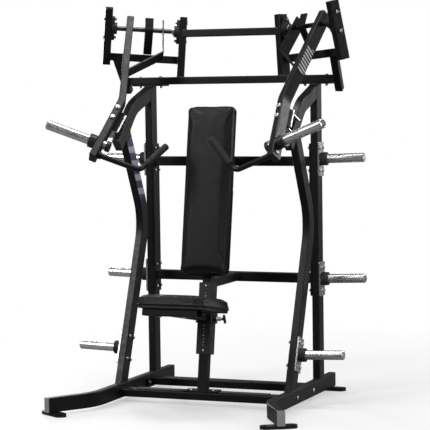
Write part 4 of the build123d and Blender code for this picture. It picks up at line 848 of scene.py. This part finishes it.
# ---- Height marks on the sleeve -------------------------------------------
MARK_PITCH = 17.0 * MM
MARK_COUNT = 17
MARK_SIDES = 20
MARK_START = 45 * MM                    # first mark above the sleeve's lower end
MARK_RADII = (2.4 * MM, 3.4 * MM)       # small and large marks take turns
MARK_GAP = 0.1 * MM
MARK_HEIGHT = 0.35 * MM
MARK_TAPER = 0.8
post_up = Vector(joints["seat_height"]["axis"]).normalized()
post_front = Vector((0, -post_up.z, post_up.y))
sleeve_points = [vert.co for vert in nodes["post_sleeve"].data.vertices]
front_reach = max(point.dot(post_front) for point in sleeve_points)
sleeve_foot = min(point.dot(post_up) for point in sleeve_points)
marks = bmesh.new()
for index in range(MARK_COUNT):
    height = sleeve_foot + MARK_START + index * MARK_PITCH
    centre = post_front * (front_reach + MARK_GAP) + post_up * height
    raised = centre + post_front * MARK_HEIGHT
    size = MARK_RADII[index % 2]
    outer = tube_ring(marks, centre, X_AXIS, post_up, size, MARK_SIDES)
    inner = tube_ring(marks, raised, X_AXIS, post_up, size * MARK_TAPER, MARK_SIDES)
    for step in range(MARK_SIDES):
        nxt = (step + 1) % MARK_SIDES
        marks.faces.new((outer[step], outer[nxt], inner[nxt], inner[step]))
    marks.faces.new(inner)
    marks.faces.new(outer[::-1])
new_object("height_marks", finish_mesh(marks, "height_marks"), MARKS, "frame")


# ---- Stage ----------------------------------------------------------------
FLOOR_SIZE = 60.0
FLOOR_DROP = 0.5 * MM                   # keeps the floor clear of the feet
FLOOR_CLEAR = 0.9                       # the floor takes shadows out to here, in metres
FLOOR_FADED = 2.6                       # and is as white as the background from here on
FLOOR_WHITE = 0.45                      # share of white in the clear part
FLOOR_ROUGHNESS = 0.6
FLOOR_TONE = (0.93, 0.93, 0.93)
FLOOR_BOUNCE = (0.16, 0.16, 0.165)      # keeps the floor's reflection on dark parts low
WORLD_LIGHT = 0.12
WORLD_SEEN = 1.0


def new_node(tree, kind, **settings):
    """A new shader node with these settings."""
    made = tree.nodes.new(kind)
    for key, value in settings.items():
        setattr(made, key, value)
    return made


def floor_material():
    """Pale floor that takes soft shadows near the object and fades to white."""
    made = bpy.data.materials.new("pale_floor")
    made.use_nodes = True
    tree = made.node_tree
    bsdf = tree.nodes["Principled BSDF"]
    bsdf.inputs["Roughness"].default_value = FLOOR_ROUGHNESS
    place = tree.nodes.new("ShaderNodeTexCoord")
    distance = new_node(tree, "ShaderNodeVectorMath", operation="LENGTH")
    fade = new_node(tree, "ShaderNodeMapRange")
    fade.inputs["From Min"].default_value = FLOOR_CLEAR
    fade.inputs["From Max"].default_value = FLOOR_FADED
    fade.inputs["To Min"].default_value = FLOOR_WHITE
    white = new_node(tree, "ShaderNodeEmission")
    blend = new_node(tree, "ShaderNodeMixShader")
    ray = new_node(tree, "ShaderNodeLightPath").outputs["Is Camera Ray"]
    seen = new_node(tree, "ShaderNodeMath", operation="MULTIPLY")
    tone = new_node(tree, "ShaderNodeMix", data_type="RGBA")
    tone.inputs["A"].default_value = (*FLOOR_BOUNCE, 1.0)
    tone.inputs["B"].default_value = (*FLOOR_TONE, 1.0)
    for source, target in (
        (place.outputs["Object"], distance.inputs[0]),
        (distance.outputs["Value"], fade.inputs["Value"]),
        (fade.outputs["Result"], seen.inputs[0]),
        (ray, seen.inputs[1]),
        (seen.outputs["Value"], blend.inputs["Fac"]),
        (ray, tone.inputs["Factor"]),
        (tone.outputs["Result"], bsdf.inputs["Base Color"]),
        (bsdf.outputs["BSDF"], blend.inputs[1]),
        (white.outputs["Emission"], blend.inputs[2]),
        (blend.outputs["Shader"], tree.nodes["Material Output"].inputs["Surface"]),
    ):
        tree.links.new(source, target)
    return made


bpy.ops.mesh.primitive_plane_add(size=FLOOR_SIZE, location=(0, 0, -FLOOR_DROP))
floor = bpy.context.object
floor.name = "floor"
floor.data.materials.append(floor_material())

world = bpy.data.worlds.new("studio")
bpy.context.scene.world = world
world.use_nodes = True
world_tree = world.node_tree
background = world_tree.nodes["Background"]
background.inputs["Color"].default_value = (1, 1, 1, 1)
camera_ray = new_node(world_tree, "ShaderNodeLightPath").outputs["Is Camera Ray"]
strength = new_node(world_tree, "ShaderNodeMix", data_type="FLOAT")
strength.inputs["A"].default_value = WORLD_LIGHT
strength.inputs["B"].default_value = WORLD_SEEN
world_tree.links.new(camera_ray, strength.inputs["Factor"])
world_tree.links.new(strength.outputs["Result"], background.inputs["Strength"])

AIM = (0.0, -0.4, 1.0)
SOFTBOXES = (       # name, place, size, power
    ("key", (-3.2, -4.6, 4.2), (1.4, 3.0), 170),
    ("fill", (4.6, -3.4, 2.4), (1.0, 3.4), 90),
    ("top", (0.0, -0.6, 5.4), (3.0, 1.6), 120),
    ("back_left", (-3.6, 3.6, 2.8), (0.9, 3.2), 110),
    ("back_right", (3.6, 3.8, 2.8), (0.9, 3.2), 110),
)
for name, location, size, power in SOFTBOXES:
    data = bpy.data.lights.new(name, "AREA")
    data.shape = "RECTANGLE"
    data.size, data.size_y = size
    data.energy = power
    lamp = bpy.data.objects.new(name, data)
    bpy.context.scene.collection.objects.link(lamp)
    lamp.location = location
    aimed = (Vector(AIM) - Vector(location)).to_track_quat("-Z", "Y")
    lamp.rotation_euler = aimed.to_euler()

CAMERA_AZIMUTH = math.radians(22.10)
CAMERA_PITCH = math.radians(3.93)
CAMERA_ROLL = math.radians(-0.807)
CAMERA_PLACE = Vector((3.6634, -9.4583, 1.6353))
LENS = 156.65
CLIP_END = 100.0
forward = Vector((
    -math.sin(CAMERA_AZIMUTH) * math.cos(CAMERA_PITCH),
    math.cos(CAMERA_AZIMUTH) * math.cos(CAMERA_PITCH),
    -math.sin(CAMERA_PITCH),
))
level_right = Vector((math.cos(CAMERA_AZIMUTH), math.sin(CAMERA_AZIMUTH), 0.0))
level_up = level_right.cross(forward)
camera_right = level_right * math.cos(CAMERA_ROLL) + level_up * math.sin(CAMERA_ROLL)
camera_up = level_up * math.cos(CAMERA_ROLL) - level_right * math.sin(CAMERA_ROLL)
camera_data = bpy.data.cameras.new("camera")
camera_data.lens = LENS
camera_data.clip_end = CLIP_END
camera = bpy.data.objects.new("camera", camera_data)
bpy.context.scene.collection.objects.link(camera)
camera_basis = Matrix((camera_right, camera_up, -forward)).transposed().to_4x4()
camera.matrix_world = Matrix.Translation(CAMERA_PLACE) @ camera_basis
bpy.context.scene.camera = camera
bpy.context.scene.view_settings.view_transform = "Standard"
